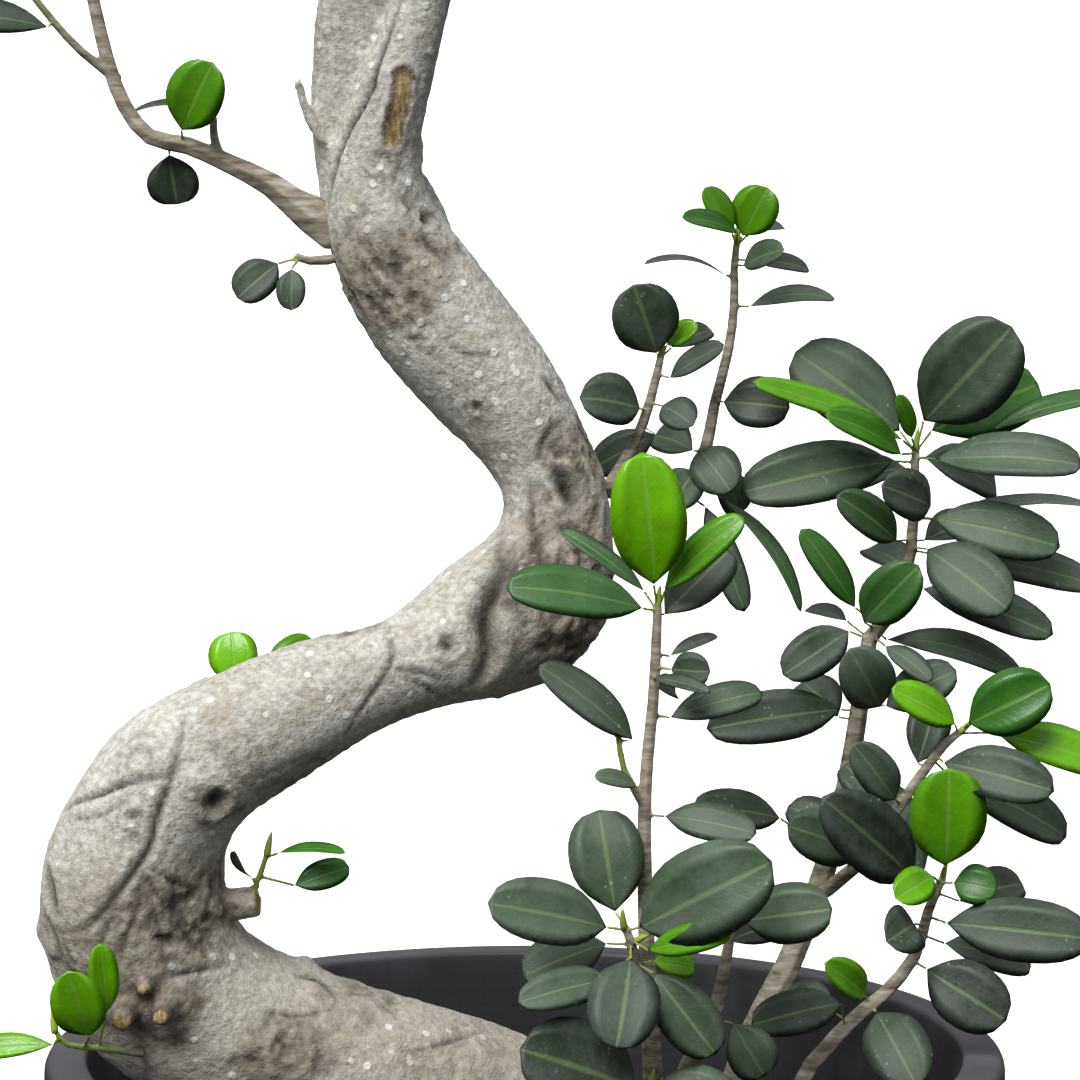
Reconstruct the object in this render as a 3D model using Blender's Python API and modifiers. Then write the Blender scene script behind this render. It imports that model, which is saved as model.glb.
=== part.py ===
"""S-bend ficus bonsai in a round nursery pot. Millimetres in the tables, metres in the scene, +Z up.

The origin is the middle of the pot's underside. X runs to the right, Y away from the front.
"""

import math
import random

import bmesh
import bpy
from mathutils import Matrix, Vector

MM = 0.001

# Pot
POT_HEIGHT = 290.0
RIM_RADIUS = 175.0
LIP_WIDTH = 17.0
LIP_DEPTH = 14.0
WALL = 3.0
FLOOR = 4.0
BASE_RADIUS = 120.0
TURN_STEPS = 36
DRAIN_HOLES = 6
DRAIN_RADIUS = 6.0
DRAIN_CIRCLE = 88.0

# Soil
SOIL_TOP = 230.0
SOIL_CROWN = 4.0

# Fits and leaf proportions
GAP = 0.3
LEAF_HALF_THICKNESS = 0.5
PETIOLE_HALF = 0.75
LEAF_CUP = 0.12
LEAF_ARCH = 0.08
END_MARGIN = 1.5
SHORTEST_STALK = 3.0
ROOT_STAGGER = 0.4
INNER_RING = (0.34, 0.48)
OUTER_RING = (0.74, 0.42)

# Crown shoots
CROWN_LEAVES = 8
CROWN_LEAF_LENGTH = 44.0
CROWN_LEAF_WIDTH = 24.0
CROWN_RADII = (3.4, 2.6, 2.0, 1.4)
CROWN_RISE = 0.14
CROWN_FIRST_LEAF = 0.34
CROWN_LAST_LEAF = 0.98
CROWN_STALK = 5.0
CROWN_END_SIZE = 0.74
GOLDEN_ANGLE = math.radians(137.5)


def clear_scene():
    for obj in list(bpy.data.objects):
        bpy.data.objects.remove(obj, do_unlink=True)


def new_collection(name, helper=False):
    made = bpy.data.collections.new(name)
    bpy.context.scene.collection.children.link(made)
    made.hide_render = helper
    return made


def material(name, color, roughness):
    made = bpy.data.materials.new(name)
    made.use_nodes = True
    shader = made.node_tree.nodes["Principled BSDF"]
    shader.inputs["Base Color"].default_value = (*color, 1.0)
    shader.inputs["Roughness"].default_value = roughness
    shader.inputs["Metallic"].default_value = 0.0
    return made


def mesh_object(name, mesh, collection, finish=None):
    obj = bpy.data.objects.new(name, mesh)
    collection.objects.link(obj)
    if finish:
        mesh.materials.clear()
        mesh.materials.append(finish)
    if collection.hide_render:
        obj.hide_render = True
        obj.display_type = "WIRE"
    return obj


def smooth_route(points, per_span):
    """Catmull-Rom through (x, y, z, radius) points, with per_span steps from each to the next."""
    ends = [points[0], *points, points[-1]]
    route = []
    for i in range(len(points) - 1):
        p0, p1, p2, p3 = (Vector(p) for p in ends[i:i + 4])
        for step in range(per_span):
            t = step / per_span
            route.append(
                0.5 * (2 * p1 + (p2 - p0) * t + (2 * p0 - 5 * p1 + 4 * p2 - p3) * t ** 2
                       + (3 * p1 - p0 - 3 * p2 + p3) * t ** 3)
            )
    route.append(Vector(points[-1]))
    return route


def tube(name, route, collection, sides_step, finish=None, grow=0.0):
    """A tapering round stem along the route, made from a bevelled curve and closed at both ends."""
    curve = bpy.data.curves.new(name, "CURVE")
    curve.dimensions = "3D"
    curve.bevel_depth = MM
    curve.bevel_resolution = sides_step
    curve.use_fill_caps = True
    spline = curve.splines.new("POLY")
    spline.points.add(len(route) - 1)
    for point, place in zip(spline.points, route):
        point.co = (place[0] * MM, place[1] * MM, place[2] * MM, 1.0)
        point.radius = place[3] + grow
    guide = bpy.data.objects.new(name + "_guide", curve)
    bpy.context.scene.collection.objects.link(guide)
    graph = bpy.context.evaluated_depsgraph_get()
    mesh = bpy.data.meshes.new_from_object(guide.evaluated_get(graph))
    bpy.data.objects.remove(guide, do_unlink=True)
    shell = bmesh.new()
    shell.from_mesh(mesh)
    bmesh.ops.remove_doubles(shell, verts=shell.verts, dist=0.00001)
    bmesh.ops.recalc_face_normals(shell, faces=shell.faces)
    shell.to_mesh(mesh)
    shell.free()
    mesh.name = name
    return mesh_object(name, mesh, collection, finish)


def keep_main_body(mesh):
    """Drops the crumbs that trimming leaves beside a stem."""
    shell = bmesh.new()
    shell.from_mesh(mesh)
    left = set(shell.verts)
    bodies = []
    while left:
        found = {left.pop()}
        edge = set(found)
        while edge:
            edge = {e.other_vert(v) for v in edge for e in v.link_edges} - found
            found |= edge
        left -= found
        bodies.append(found)
    bodies.sort(key=len)
    crumbs = [v for body in bodies[:-1] for v in body]
    bmesh.ops.delete(shell, geom=crumbs, context="VERTS")
    shell.to_mesh(mesh)
    shell.free()


def boolean(obj, operation, operands):
    """Joins or cuts with every object of a collection, and keeps the plain result."""
    modifier = obj.modifiers.new(operation.title(), "BOOLEAN")
    modifier.operation = operation
    modifier.solver = "EXACT"
    modifier.operand_type = "COLLECTION"
    modifier.collection = operands
    graph = bpy.context.evaluated_depsgraph_get()
    result = bpy.data.meshes.new_from_object(obj.evaluated_get(graph))
    finish = obj.data.materials[0]
    obj.modifiers.clear()
    obj.data = result
    result.materials.clear()
    result.materials.append(finish)
    keep_main_body(result)


def turned(name, profile, steps, collection, finish):
    """A closed solid of revolution about Z from a profile of (radius, height) that ends on the axis."""
    shell = bmesh.new()
    verts = [shell.verts.new((r * MM, 0.0, z * MM)) for r, z in profile]
    for a, b in zip(verts, verts[1:]):
        shell.edges.new((a, b))
    mesh = bpy.data.meshes.new(name)
    shell.to_mesh(mesh)
    shell.free()
    obj = mesh_object(name, mesh, collection, finish)
    screw = obj.modifiers.new("Screw", "SCREW")
    screw.steps = steps
    screw.render_steps = steps
    screw.use_merge_vertices = True
    screw.merge_threshold = 0.00001
    return obj


# ---------------------------------------------------------------- leaves


def facing(lift, turn=0.0):
    """The way a blade's upper side looks: lift 0 is straight up, 90 is level to the front."""
    lift, turn = math.radians(lift), math.radians(turn)
    return Vector((math.sin(turn) * math.sin(lift), -math.cos(turn) * math.sin(lift), math.cos(lift)))


def ring_of(centre, along, normal, half_width, half_thickness, cup):
    along = along.normalized()
    side = along.cross(normal).normalized()
    upward = side.cross(along)
    raised = centre + upward * cup
    return [
        raised - side * half_width,
        centre + upward * half_thickness,
        raised + side * half_width,
        centre - upward * half_thickness,
    ]


def nearest_on(route, place):
    """The spot of a stem's middle line closest to the place, a little short of the stem's end."""
    best = None
    for a, b in zip(route, route[1:]):
        start, span = a.to_3d(), b.to_3d() - a.to_3d()
        most = 1.0 - END_MARGIN / span.length if b is route[-1] else 1.0
        t = min(most, max(0.0, (place - start).dot(span) / span.length_squared))
        spot = start + span * t
        if best is None or (spot - place).length < (best - place).length:
            best = spot
    return best


def leaf_row(base, tip, width, lift, turn=0.0, arch=LEAF_ARCH):
    """A row of the leaf tables in full."""
    return base, tip, width, lift, turn, arch


def leaf_blank(name, route, base, tip, width, look, arch, collection):
    """A leaf as a closed lens on a thin stalk. The stalk starts in the middle of the stem it grows on."""
    base, tip = Vector(base), Vector(tip)
    along = (tip - base).normalized()
    root = nearest_on(route, base) + along * ROOT_STAGGER
    if (base - root).length < SHORTEST_STALK:
        base = root + along * SHORTEST_STALK
    length = (tip - base).length
    normal = (look - along * look.dot(along)).normalized()
    stalk = (base - root).normalized()
    rings = [
        ring_of(root, stalk, normal, PETIOLE_HALF, PETIOLE_HALF, 0.0),
        ring_of(base, stalk + along, normal, PETIOLE_HALF, PETIOLE_HALF, 0.0),
    ]
    for t, share in (INNER_RING, OUTER_RING):
        centre = base.lerp(tip, t) + normal * (4 * t * (1 - t) * arch * length)
        rings.append(ring_of(centre, along, normal, share * width, LEAF_HALF_THICKNESS, LEAF_CUP * width))
    shell = bmesh.new()
    rows = [[shell.verts.new(v * MM) for v in ring] for ring in rings]
    end = shell.verts.new(tip * MM)
    shell.faces.new(rows[0])
    for low, high in zip(rows, rows[1:]):
        for k in range(4):
            shell.faces.new((low[k - 1], low[k], high[k], high[k - 1]))
    for k in range(4):
        shell.faces.new((rows[-1][k - 1], rows[-1][k], end))
    bmesh.ops.triangulate(shell, faces=shell.faces)
    bmesh.ops.recalc_face_normals(shell, faces=shell.faces)
    mesh = bpy.data.meshes.new(name)
    shell.to_mesh(mesh)
    shell.free()
    return mesh_object(name, mesh, collection)


# ---------------------------------------------------------------- wood


class Wood:
    """Stems that later shoots grow from. Each keeps a slightly fatter copy that trims what joins it."""

    def __init__(self, parts, blanks):
        self.parts = parts
        self.blanks = blanks
        self.cutters = {}

    def cutter(self, name, routes, sides_step):
        holder = bpy.data.collections.new(name + "_clearance")
        self.blanks.children.link(holder)
        holder.hide_render = True
        for number, route in enumerate(routes):
            tube(f"{name}_clearance_{number}", route, holder, sides_step, grow=GAP)
        self.cutters[name] = holder

    def grow(self, name, routes, finish, leaves=(), parents=(), sides_step=1, per_span=2, parent_of=False):
        """One stem, with its forks and its leaves, as one solid."""
        routes = [smooth_route(points, per_span) for points in routes]
        body = tube(name, routes[0], self.parts, sides_step, finish)
        extras = bpy.data.collections.new(name + "_growth")
        self.blanks.children.link(extras)
        extras.hide_render = True
        for number, route in enumerate(routes[1:]):
            tube(f"{name}_fork_{number}", route, extras, sides_step)
        for number, row in enumerate(leaves):
            base, tip, width, lift, turn, arch = leaf_row(*row)
            route = min(
                routes,
                key=lambda places: (nearest_on(places, Vector(base)) - Vector(base)).length,
            )
            leaf_blank(f"{name}_leaf_{number}", route, base, tip, width, facing(lift, turn), arch, extras)
        if len(extras.objects):
            boolean(body, "UNION", extras)
        for parent in parents:
            boolean(body, "DIFFERENCE", self.cutters[parent])
        if parent_of:
            self.cutter(name, routes, sides_step)
        return body


# ---------------------------------------------------------------- the tree


TRUNK = [
    [
        (66, -2, 196, 42), (40, -12, 228, 38), (8, -24, 256, 35.5), (-30, -36, 277, 34.5),
        (-68, -48, 291, 34.5), (-102, -56, 306, 35), (-126, -63, 327, 34.5), (-136, -69, 354, 34.5),
        (-130, -72, 382, 31), (-116, -71, 401, 28.5), (-93, -69, 415, 25.5), (-66, -62, 427, 22.5),
        (-40, -52, 435, 19.5), (-16, -38, 446, 27.5), (3, -27, 456, 31), (13, -21, 483, 21),
        (7, -20, 506, 20.5), (-11, -20, 532, 24.5), (-34, -20, 559, 26), (-49, -20, 584, 22.5),
        (-52, -22, 606, 17), (-47, -26, 630, 14.5), (-39, -28, 655, 12), (-31, -26, 682, 10.5),
        (-18, -20, 712, 10), (-4, -10, 740, 9), (12, 0, 764, 7.5),
    ],
    [
        (-58, -12, 578, 12), (-64, -9, 604, 12), (-65, -10, 630, 13.5), (-62, -12, 655, 15.5),
        (-58, -14, 682, 15.5), (-52, -12, 712, 14), (-44, -6, 744, 12.5), (-34, 0, 774, 11),
        (-20, 6, 800, 9), (-4, 8, 822, 7),
    ],
]
# Limbs, cut snags and surface roots that grow out of the two trunk stems.
LIMBS = [
    [(-18, -6, 562, 6), (-27, -6, 580, 5.5), (-35, -8, 598, 4.5), (-42, -14, 612, 3.5)],
    [(-122, -70, 352, 8), (-105, -70, 354, 6.2), (-91, -71, 356, 5.6)],
    [(-133, -86, 326, 5), (-134, -106, 322, 4)],
    [(-121, -84, 327, 5), (-121, -106, 323, 3.8)],
    [(-126, -86, 333, 3), (-127, -103, 332, 2.4)],
    [(-68, -20, 614, 3), (-76, -22, 626, 2.2), (-80, -23, 640, 1.9)],
    [(36, -40, 232, 20), (34, -72, 225, 13), (24, -100, 216, 7)],
    [(58, 10, 232, 22), (84, 34, 224, 13), (106, 52, 214, 7)],
    [(30, 6, 232, 22), (6, 40, 225, 13), (-14, 68, 214, 7)],
    [(-50, -12, 712, 9), (-72, -4, 738, 7.5), (-98, 2, 758, 6), (-122, 4, 772, 4.5)],
    [(-40, -4, 752, 8), (-52, 24, 778, 6.5), (-58, 52, 800, 5), (-60, 74, 820, 4)],
    [(-20, -20, 708, 7), (-6, -46, 734, 6), (6, -70, 756, 5), (14, -90, 774, 4)],
    [(-2, -9, 742, 7), (34, -6, 762, 6), (66, -2, 778, 5), (94, 2, 790, 4)],
]

LEFT_BRANCH = [
    [
        (-60, -18, 582, 9.5), (-76, -18, 592, 7), (-90, -18, 603, 5), (-106, -17, 611, 3.9),
        (-120, -16, 617, 3.6), (-133, -16, 620, 3.3), (-142, -16, 631, 3.0), (-148, -15, 647, 2.8),
        (-153, -13, 668, 2.5), (-158, -10, 690, 2.2), (-162, -6, 712, 1.8), (-166, -4, 728, 1.4),
    ],
    [(-144, -15, 640, 2.2), (-157, -17, 650, 1.7), (-167, -19, 661, 1.5), (-176, -21, 673, 1.4),
     (-184, -22, 686, 1.2)],
    [(-108, -17, 612, 2.0), (-110, -19, 620, 1.7), (-110, -20, 627, 1.5)],
]
LEFT_BRANCH_LEAVES = [
    ((-121, -22, 622), (-110, -30, 643), 18, 78),
    ((-115, -14, 630), (-138, -10, 629), 6, 25, 0, 0.10),
    ((-127, -10, 614), (-125, -6, 598), 16, 80),
    ((-168, -22, 658), (-208, -26, 661), 13, 60),
    ((-183, -24, 690), (-208, -34, 706), 16, 50),
    ((-185, -20, 690), (-186, -4, 722), 17, 60, 40),
    ((-164, -8, 716), (-196, -16, 734), 20, 45),
    ((-164, -2, 714), (-136, 6, 736), 19, 50),
    ((-166, -8, 730), (-158, -34, 756), 20, 45),
    ((-167, -2, 731), (-176, 22, 760), 19, 50, 180),
    ((-166, -4, 733), (-166, -8, 772), 17, 80),
    ((-156, -12, 694), (-146, -40, 704), 18, 40),
    ((-158, -6, 698), (-170, 26, 706), 18, 30, 180),
]

SPROUTS = {
    "base_sprout": (
        [[(-129, -92, 308, 1.6), (-141, -101, 312, 1.3), (-152, -104, 314, 1.2), (-156, -105, 319, 1.0)]],
        [
            ((-139, -105, 325), (-140, -112, 348), 9, 80, 20),
            ((-144, -108, 318), (-149, -118, 340), 15, 75),
            ((-157, -104, 314), (-188, -100, 310), 8, 55),
        ],
    ),
    "snag_sprout": (
        [[(-96, -71, 352, 1.4), (-91, -72, 364, 1.2), (-88, -73, 373, 1.0)]],
        [
            ((-93, -74, 362), (-98, -80, 374), 7, 80, -50),
            ((-84, -72, 373), (-63, -74, 373.5), 5, 30),
            ((-79, -68, 361), (-62, -64, 366), 9, 70),
        ],
    ),
    "bend_sprout": (
        [[(-96, -54, 420, 1.5), (-96, -43, 429, 1.2)]],
        [
            ((-101, -42, 427), (-103, -38, 444), 15, 85),
            ((-91, -38, 430), (-76, -32, 441), 11, 70),
        ],
    ),
    "collar_sprout": (
        [[(-64, -22, 577, 2.4), (-76, -24, 576, 1.8), (-81, -25, 578, 1.4)]],
        [
            ((-87, -26, 575), (-100, -30, 564), 13, 75),
            ((-82, -28, 573), (-82, -32, 560), 9, 85),
        ],
    ),
}

FRONT_STEM = [
    [
        (48, -72, 214, 4.6), (46, -76, 260, 4.2), (44, -79, 300, 3.8), (42, -79, 340, 3.2),
        (41, -77, 380, 2.7), (42, -76, 405, 2.4), (44, -75, 425, 2.2), (45, -75, 445, 2.0),
        (45.5, -75, 458, 1.7),
    ],
    [(41, -77, 390, 1.8), (34, -79, 403, 1.3), (32, -80, 415, 1.1)],
]
FRONT_LEAVES = [
    ((44, -79, 466), (40, -88, 507), 22, 84),
    ((40, -80, 458), (-2, -94, 466), 16, 62),
    ((41, -72, 463), (15, -64, 481), 7, 40),
    ((48, -76, 464), (72, -82, 487), 11, 55),
    ((48, -71, 455), (69, -60, 474), 16, 65),
    ((50, -72, 441), (65, -66, 446), 5, 40),
    ((50, -78, 437), (62, -84, 437), 11, 85),
    ((44, -80, 434), (61, -92, 431), 5, 50),
    ((44, -70, 431), (52, -60, 427), 8, 60),
    ((50, -74, 420), (79, -70, 427), 11, 55),
    ((37, -78, 413), (8, -84, 437), 12, 62),
    ((38, -84, 398), (25, -90, 402), 6, 50),
    ((48, -80, 387), (76, -88, 383), 12, 62),
]

LOW_STEM = [[(41, -77, 326, 2.6), (38, -84, 338, 2.2), (36, -88, 346, 1.8), (34, -89, 351, 1.5)]]
LOW_LEAVES = [
    ((28, -91, 351), (-9, -104, 361), 19, 66),
    ((31, -84, 355), (26, -78, 386), 22, 84),
    ((39, -91, 351), (79, -104, 374), 27, 74),
    ((42, -95, 344), (67, -106, 352), 9, 66),
    ((36, -95, 341), (31, -112, 317), 21, 82),
    ((29, -94, 334), (1, -112, 331), 12, 66),
    ((28, -84, 344), (2, -84, 334), 16, 60),
    ((44, -90, 335), (63, -96, 311), 17, 80),
    ((44, -84, 338), (57, -78, 334), 8, 60),
]
LOWEST_STEM = [[(45, -80, 284, 2.4), (44, -88, 292, 2.0), (43, -92, 297, 1.6)]]
LOWEST_LEAVES = [
    ((38, -96, 297), (2, -110, 313), 27, 68),
    ((47, -94, 300), (70, -100, 292), 15, 60),
]

SIDE_STEM = [
    [
        (58, -62, 214, 4.2), (54, -68, 262, 3.8), (54, -72, 292, 3.5), (60, -75, 306, 3.2),
        (66, -77, 321, 2.8), (69, -77, 336, 2.3), (71, -77, 349, 1.8),
    ],
]
SIDE_LEAVES = [
    ((75, -79, 351), (102, -86, 356), 18, 72),
    ((70, -70, 342), (88, -56, 344), 11, 55),
    ((72, -74, 314), (82, -74, 297), 15, 78),
    ((64, -68, 305), (52, -48, 312), 12, 60),
]

# The slender branch on the right of the knee, with three leafy arms.
KNEE_BRANCH = [
    [
        (16, -8, 497, 4.4), (38, 6, 492, 3.4), (58, 14, 492, 3.0), (66, 18, 505, 2.6),
        (70, 20, 524, 2.2), (75, 20, 544, 2.0), (77, 20, 560, 1.8), (77, 20, 574, 1.6),
        (78, 20, 584, 1.4),
    ],
    [(30, 2, 494, 2.6), (40, 8, 510, 2.2), (46, 11, 526, 2.0), (50, 12, 543, 1.5)],
]
KNEE_LEAVES = [
    ((80, 20, 586), (88, 16, 602), 15, 70),
    ((76, 18, 587), (67, 14, 602), 9, 60),
    ((78, 15, 587), (59, 4, 592), 8, 55),
    ((84, 26, 588), (95, 34, 589), 6, 40),
    ((75, 18, 571), (46, 12, 575), 8, 16, 0, 0.14),
    ((80, 14, 575), (93, 4, 580), 10, 62),
    ((82, 26, 577), (104, 34, 574), 8, 48),
    ((83, 22, 560), (112, 24, 563), 9, 40, 0, 0.12),
    ((48, 9, 543), (40, 3, 566), 21, 82),
    ((52, 12, 546), (62, 8, 553), 8, 60),
    ((54, 18, 545), (68, 26, 551), 9, 55),
    ((53, 9, 534), (71, 2, 545), 8, 60),
    ((42, 6, 523), (22, -4, 527), 17, 70),
    ((48, 18, 513), (27, 24, 501), 13, 72),
    ((50, 6, 524), (60, -2, 518), 12, 66),
    ((73, 16, 525), (95, 10, 523), 17, 72),
    ((64, 12, 508), (74, 2, 494), 16, 80),
    ((62, 20, 507), (49, 28, 512), 13, 60),
    ((62, 9, 500), (53, -2, 488), 13, 80),
    ((72, 24, 500), (80, 30, 484), 12, 60),
    ((51, 2, 497), (46, -12, 484), 10, 70),
    ((66, 8, 487), (79, 2, 452), 10, 80),
    ((73, 20, 489), (100, 16, 451), 8, 50, 40, 0.12),
]

RIGHT_STEM = [
    [
        (68, -48, 212, 6.6), (70, -42, 260, 6.0), (80, -26, 294, 5.4), (96, -8, 320, 4.9),
        (108, 6, 345, 4.5), (117, 14, 372, 4.2), (122, 19, 396, 3.8), (125, 20, 416, 3.5),
        (128, 20, 437, 3.2), (137, 20, 448, 2.8), (143, 20, 470, 2.4), (144, 20, 494, 2.0),
        (144.5, 20, 508, 1.6),
    ],
]
TOP_RIGHT_LEAVES = [
    ((147, 18, 518), (175, 8, 550), 29, 82),
    ((151, 26, 514), (190, 40, 530), 22, 78),
    ((149, 30, 504), (177, 52, 492), 17, 60),
    ((173, 26, 514), (216, 30, 526), 9, 40),
    ((151, 13, 504), (198, -2, 503), 16, 62),
    ((139, 24, 514), (104, 32, 541), 25, 78),
    ((139, 15, 511), (87, 0, 531), 9, 60),
    ((138, 11, 506), (111, -6, 520), 11, 60),
    ((136, 20, 503), (84, 12, 493), 20, 72),
    ((142, 28, 500), (113, 48, 490), 16, 50),
    ((142, 12, 512), (136, 4, 527), 6, 70),
]
MID_RIGHT_LEAVES = [
    ((137, 14, 474), (116, 2, 490), 13, 72),
    ((149, 10, 487), (130, -8, 495), 16, 78),
    ((151, 16, 482), (192, 6, 473), 18, 70),
    ((155, 26, 481), (211, 36, 484), 10, 20),
    ((149, 28, 473), (169, 44, 478), 13, 50),
    ((148, 12, 471), (173, -6, 452), 21, 76),
    ((153, 24, 468), (209, 26, 457), 14, 60),
    ((147, 16, 456), (190, 8, 441), 14, 64),
    ((144, 30, 461), (132, 52, 468), 14, 50),
]
FORK_RIGHT_LEAVES = [
    ((125, 14, 444), (142, 2, 464), 17, 74),
    ((122, 16, 449), (103, 10, 476), 10, 68),
    ((120, 18, 440), (97, 10, 426), 15, 74),
    ((133, 12, 435), (147, 0, 425), 8, 60),
    ((120, 26, 443), (107, 36, 446), 8, 30),
    ((135, 26, 436), (182, 30, 422), 12, 50, 0, 0.16),
    ((131, 9, 413), (119, -4, 434), 18, 80),
    ((134, 18, 412), (157, 12, 425), 15, 66),
    ((117, 16, 411), (71, 6, 406), 17, 72),
    ((117, 26, 407), (106, 42, 417), 15, 60),
]
ARM_STEM = [
    [
        (102, 0, 340, 3.2), (121, -8, 357, 2.8), (135, -8, 377, 2.4), (145, -6, 391, 2.1),
        (153, -5, 401, 1.8), (159, -5, 406, 1.5),
    ],
]
ARM_LEAVES = [
    ((156, -9, 409), (134, -18, 422), 12, 66),
    ((161, -8, 409), (187, -14, 423), 20, 76),
    ((172, -3, 405), (210, -4, 393), 15, 58),
    ((152, -10, 395), (186, -26, 388), 17, 70),
    ((154, 4, 390), (197, 12, 366), 16, 66),
    ((144, 2, 393), (151, 14, 412), 14, 74),
    ((134, -14, 382), (119, -24, 402), 13, 76),
    ((131, -2, 378), (119, 10, 390), 13, 60),
    ((122, -14, 363), (96, -26, 374), 17, 74),
    ((120, -2, 364), (99, 8, 375), 14, 60),
    ((91, -30, 378), (62, -44, 384), 13, 62),
]
EDGE_STEM = [
    [
        (84, -46, 212, 3.8), (93, -38, 273, 3.4), (113, -26, 299, 3.1), (130, -16, 311, 2.8),
        (142, -10, 324, 2.5), (147, -8, 340, 2.1), (152, -8, 352, 1.7),
    ],
]
EDGE_LEAVES = [
    ((152, -14, 358), (152, -22, 392), 24, 80),
    ((148, -14, 354), (134, -26, 349), 12, 68),
    ((156, -10, 351), (169, -16, 350), 13, 66),
    ((141, -10, 353), (108, -34, 384), 22, 76),
    ((145, -2, 350), (131, 14, 381), 17, 74),
    ((159, -4, 343), (182, 6, 347), 14, 55),
    ((141, -16, 337), (130, -34, 335), 16, 74),
    ((153, -14, 337), (199, -26, 334), 20, 74),
    ((154, -2, 327), (185, 8, 317), 13, 60),
    ((146, -14, 320), (171, -24, 305), 21, 80),
    ((123, -22, 312), (108, -36, 326), 11, 66),
    ((113, -34, 312), (82, -52, 309), 14, 66),
    ((127, -22, 306), (138, -42, 286), 20, 82),
    ((112, -18, 305), (97, 4, 306), 14, 55),
]

# Crown shoots above the two trunk stems: start on a limb, then the way the shoot points.
CROWN_SHOOTS = [
    ((-120, 4, 770), (-60, -10, 40), "trunk"),
    ((-96, 2, 757), (-30, -60, 50), "trunk"),
    ((-60, 73, 818), (-10, 50, 60), "trunk"),
    ((-54, 30, 782), (-60, 40, 40), "trunk"),
    ((14, -88, 772), (20, -60, 50), "trunk"),
    ((6, -68, 755), (-50, -40, 50), "trunk"),
    ((92, 2, 789), (70, 4, 36), "trunk"),
    ((64, -2, 777), (40, -56, 40), "trunk"),
    ((42, -5, 765), (20, 62, 46), "trunk"),
    ((-5, 8, 820), (20, -10, 90), "trunk"),
    ((-20, 6, 799), (-46, -34, 70), "trunk"),
    ((10, -2, 762), (44, -24, 70), "trunk"),
]


def crown_shoot(start, heading, rng):
    """A shoot that curves up, and its leaves turned by the golden angle from each to the next."""
    start, heading = Vector(start), Vector(heading)
    length = heading.length
    way = heading.normalized()
    rise = Vector((0.0, 0.0, CROWN_RISE * length))
    places = [start - way * 4, start + way * length * 0.3, start + way * length * 0.65 + rise,
              start + way * length * 0.95 + rise * 2.2]
    stem = [(*place, radius) for place, radius in zip(places, CROWN_RADII)]
    route = smooth_route(stem, 4)
    across = way.cross(Vector((0.0, 0.0, 1.0))).normalized()
    leaves = []
    for number in range(CROWN_LEAVES):
        share = CROWN_FIRST_LEAF + (CROWN_LAST_LEAF - CROWN_FIRST_LEAF) * number / (CROWN_LEAVES - 1)
        spot = route[round(share * (len(route) - 1))].to_3d()
        outward = Matrix.Rotation(number * GOLDEN_ANGLE + rng.uniform(-0.2, 0.2), 3, way) @ across
        splay = 0.95 - 0.6 * share
        along = (outward * splay + way * (1.1 - splay)).normalized()
        size = rng.uniform(0.86, 1.08) * (1.0 if number < CROWN_LEAVES - 2 else CROWN_END_SIZE)
        base = spot + outward * CROWN_STALK + way * 0.4 * CROWN_STALK
        tip = base + along * CROWN_LEAF_LENGTH * size - Vector((0.0, 0.0, 4.0))
        look = (way * 0.8 + Vector((0.0, 0.0, 0.7)) - outward * 0.25).normalized()
        lift = math.degrees(math.acos(look.z))
        turn = math.degrees(math.atan2(look.x, -look.y))
        leaves.append((tuple(base), tuple(tip), CROWN_LEAF_WIDTH * size, lift, turn))
    return stem, leaves


def make_pot(parts, blanks, finish):
    """The pot turned from its section, inside first, then round the lip and down the outer wall."""
    inner = RIM_RADIUS - LIP_WIDTH
    neck = inner + WALL
    under = POT_HEIGHT - LIP_DEPTH
    profile = [
        (0.0, FLOOR), (BASE_RADIUS - 12, FLOOR), (BASE_RADIUS - 6, FLOOR + 4),
        (inner - 1.5, POT_HEIGHT - 16), (inner, POT_HEIGHT - 5), (inner + 2, POT_HEIGHT - 1.5),
        (inner + 6, POT_HEIGHT), (RIM_RADIUS - 5, POT_HEIGHT), (RIM_RADIUS - 1.5, POT_HEIGHT - 1.5),
        (RIM_RADIUS, POT_HEIGHT - 5), (RIM_RADIUS, under), (RIM_RADIUS - WALL, under),
        (RIM_RADIUS - WALL - 2, under + 7), (neck + 1, under + 7), (neck, under - 2),
        (BASE_RADIUS, 8.0), (BASE_RADIUS - 3, 2.0), (BASE_RADIUS - 6, 0.0), (0.0, 0.0),
    ]
    pot = turned("pot", profile, TURN_STEPS, parts, finish)
    drains = bpy.data.collections.new("drain_cutters")
    blanks.children.link(drains)
    drains.hide_render = True
    for number in range(DRAIN_HOLES):
        angle = 2 * math.pi * number / DRAIN_HOLES
        cutter = bmesh.new()
        bmesh.ops.create_cone(
            cutter, cap_ends=True, segments=10, radius1=DRAIN_RADIUS * MM, radius2=DRAIN_RADIUS * MM,
            depth=4 * FLOOR * MM,
        )
        mesh = bpy.data.meshes.new("drain_cutter")
        cutter.to_mesh(mesh)
        cutter.free()
        hole = mesh_object(f"drain_cutter_{number}", mesh, drains)
        hole.location = (DRAIN_CIRCLE * math.cos(angle) * MM, DRAIN_CIRCLE * math.sin(angle) * MM, 0.0)
    boolean(pot, "DIFFERENCE", drains)


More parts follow.
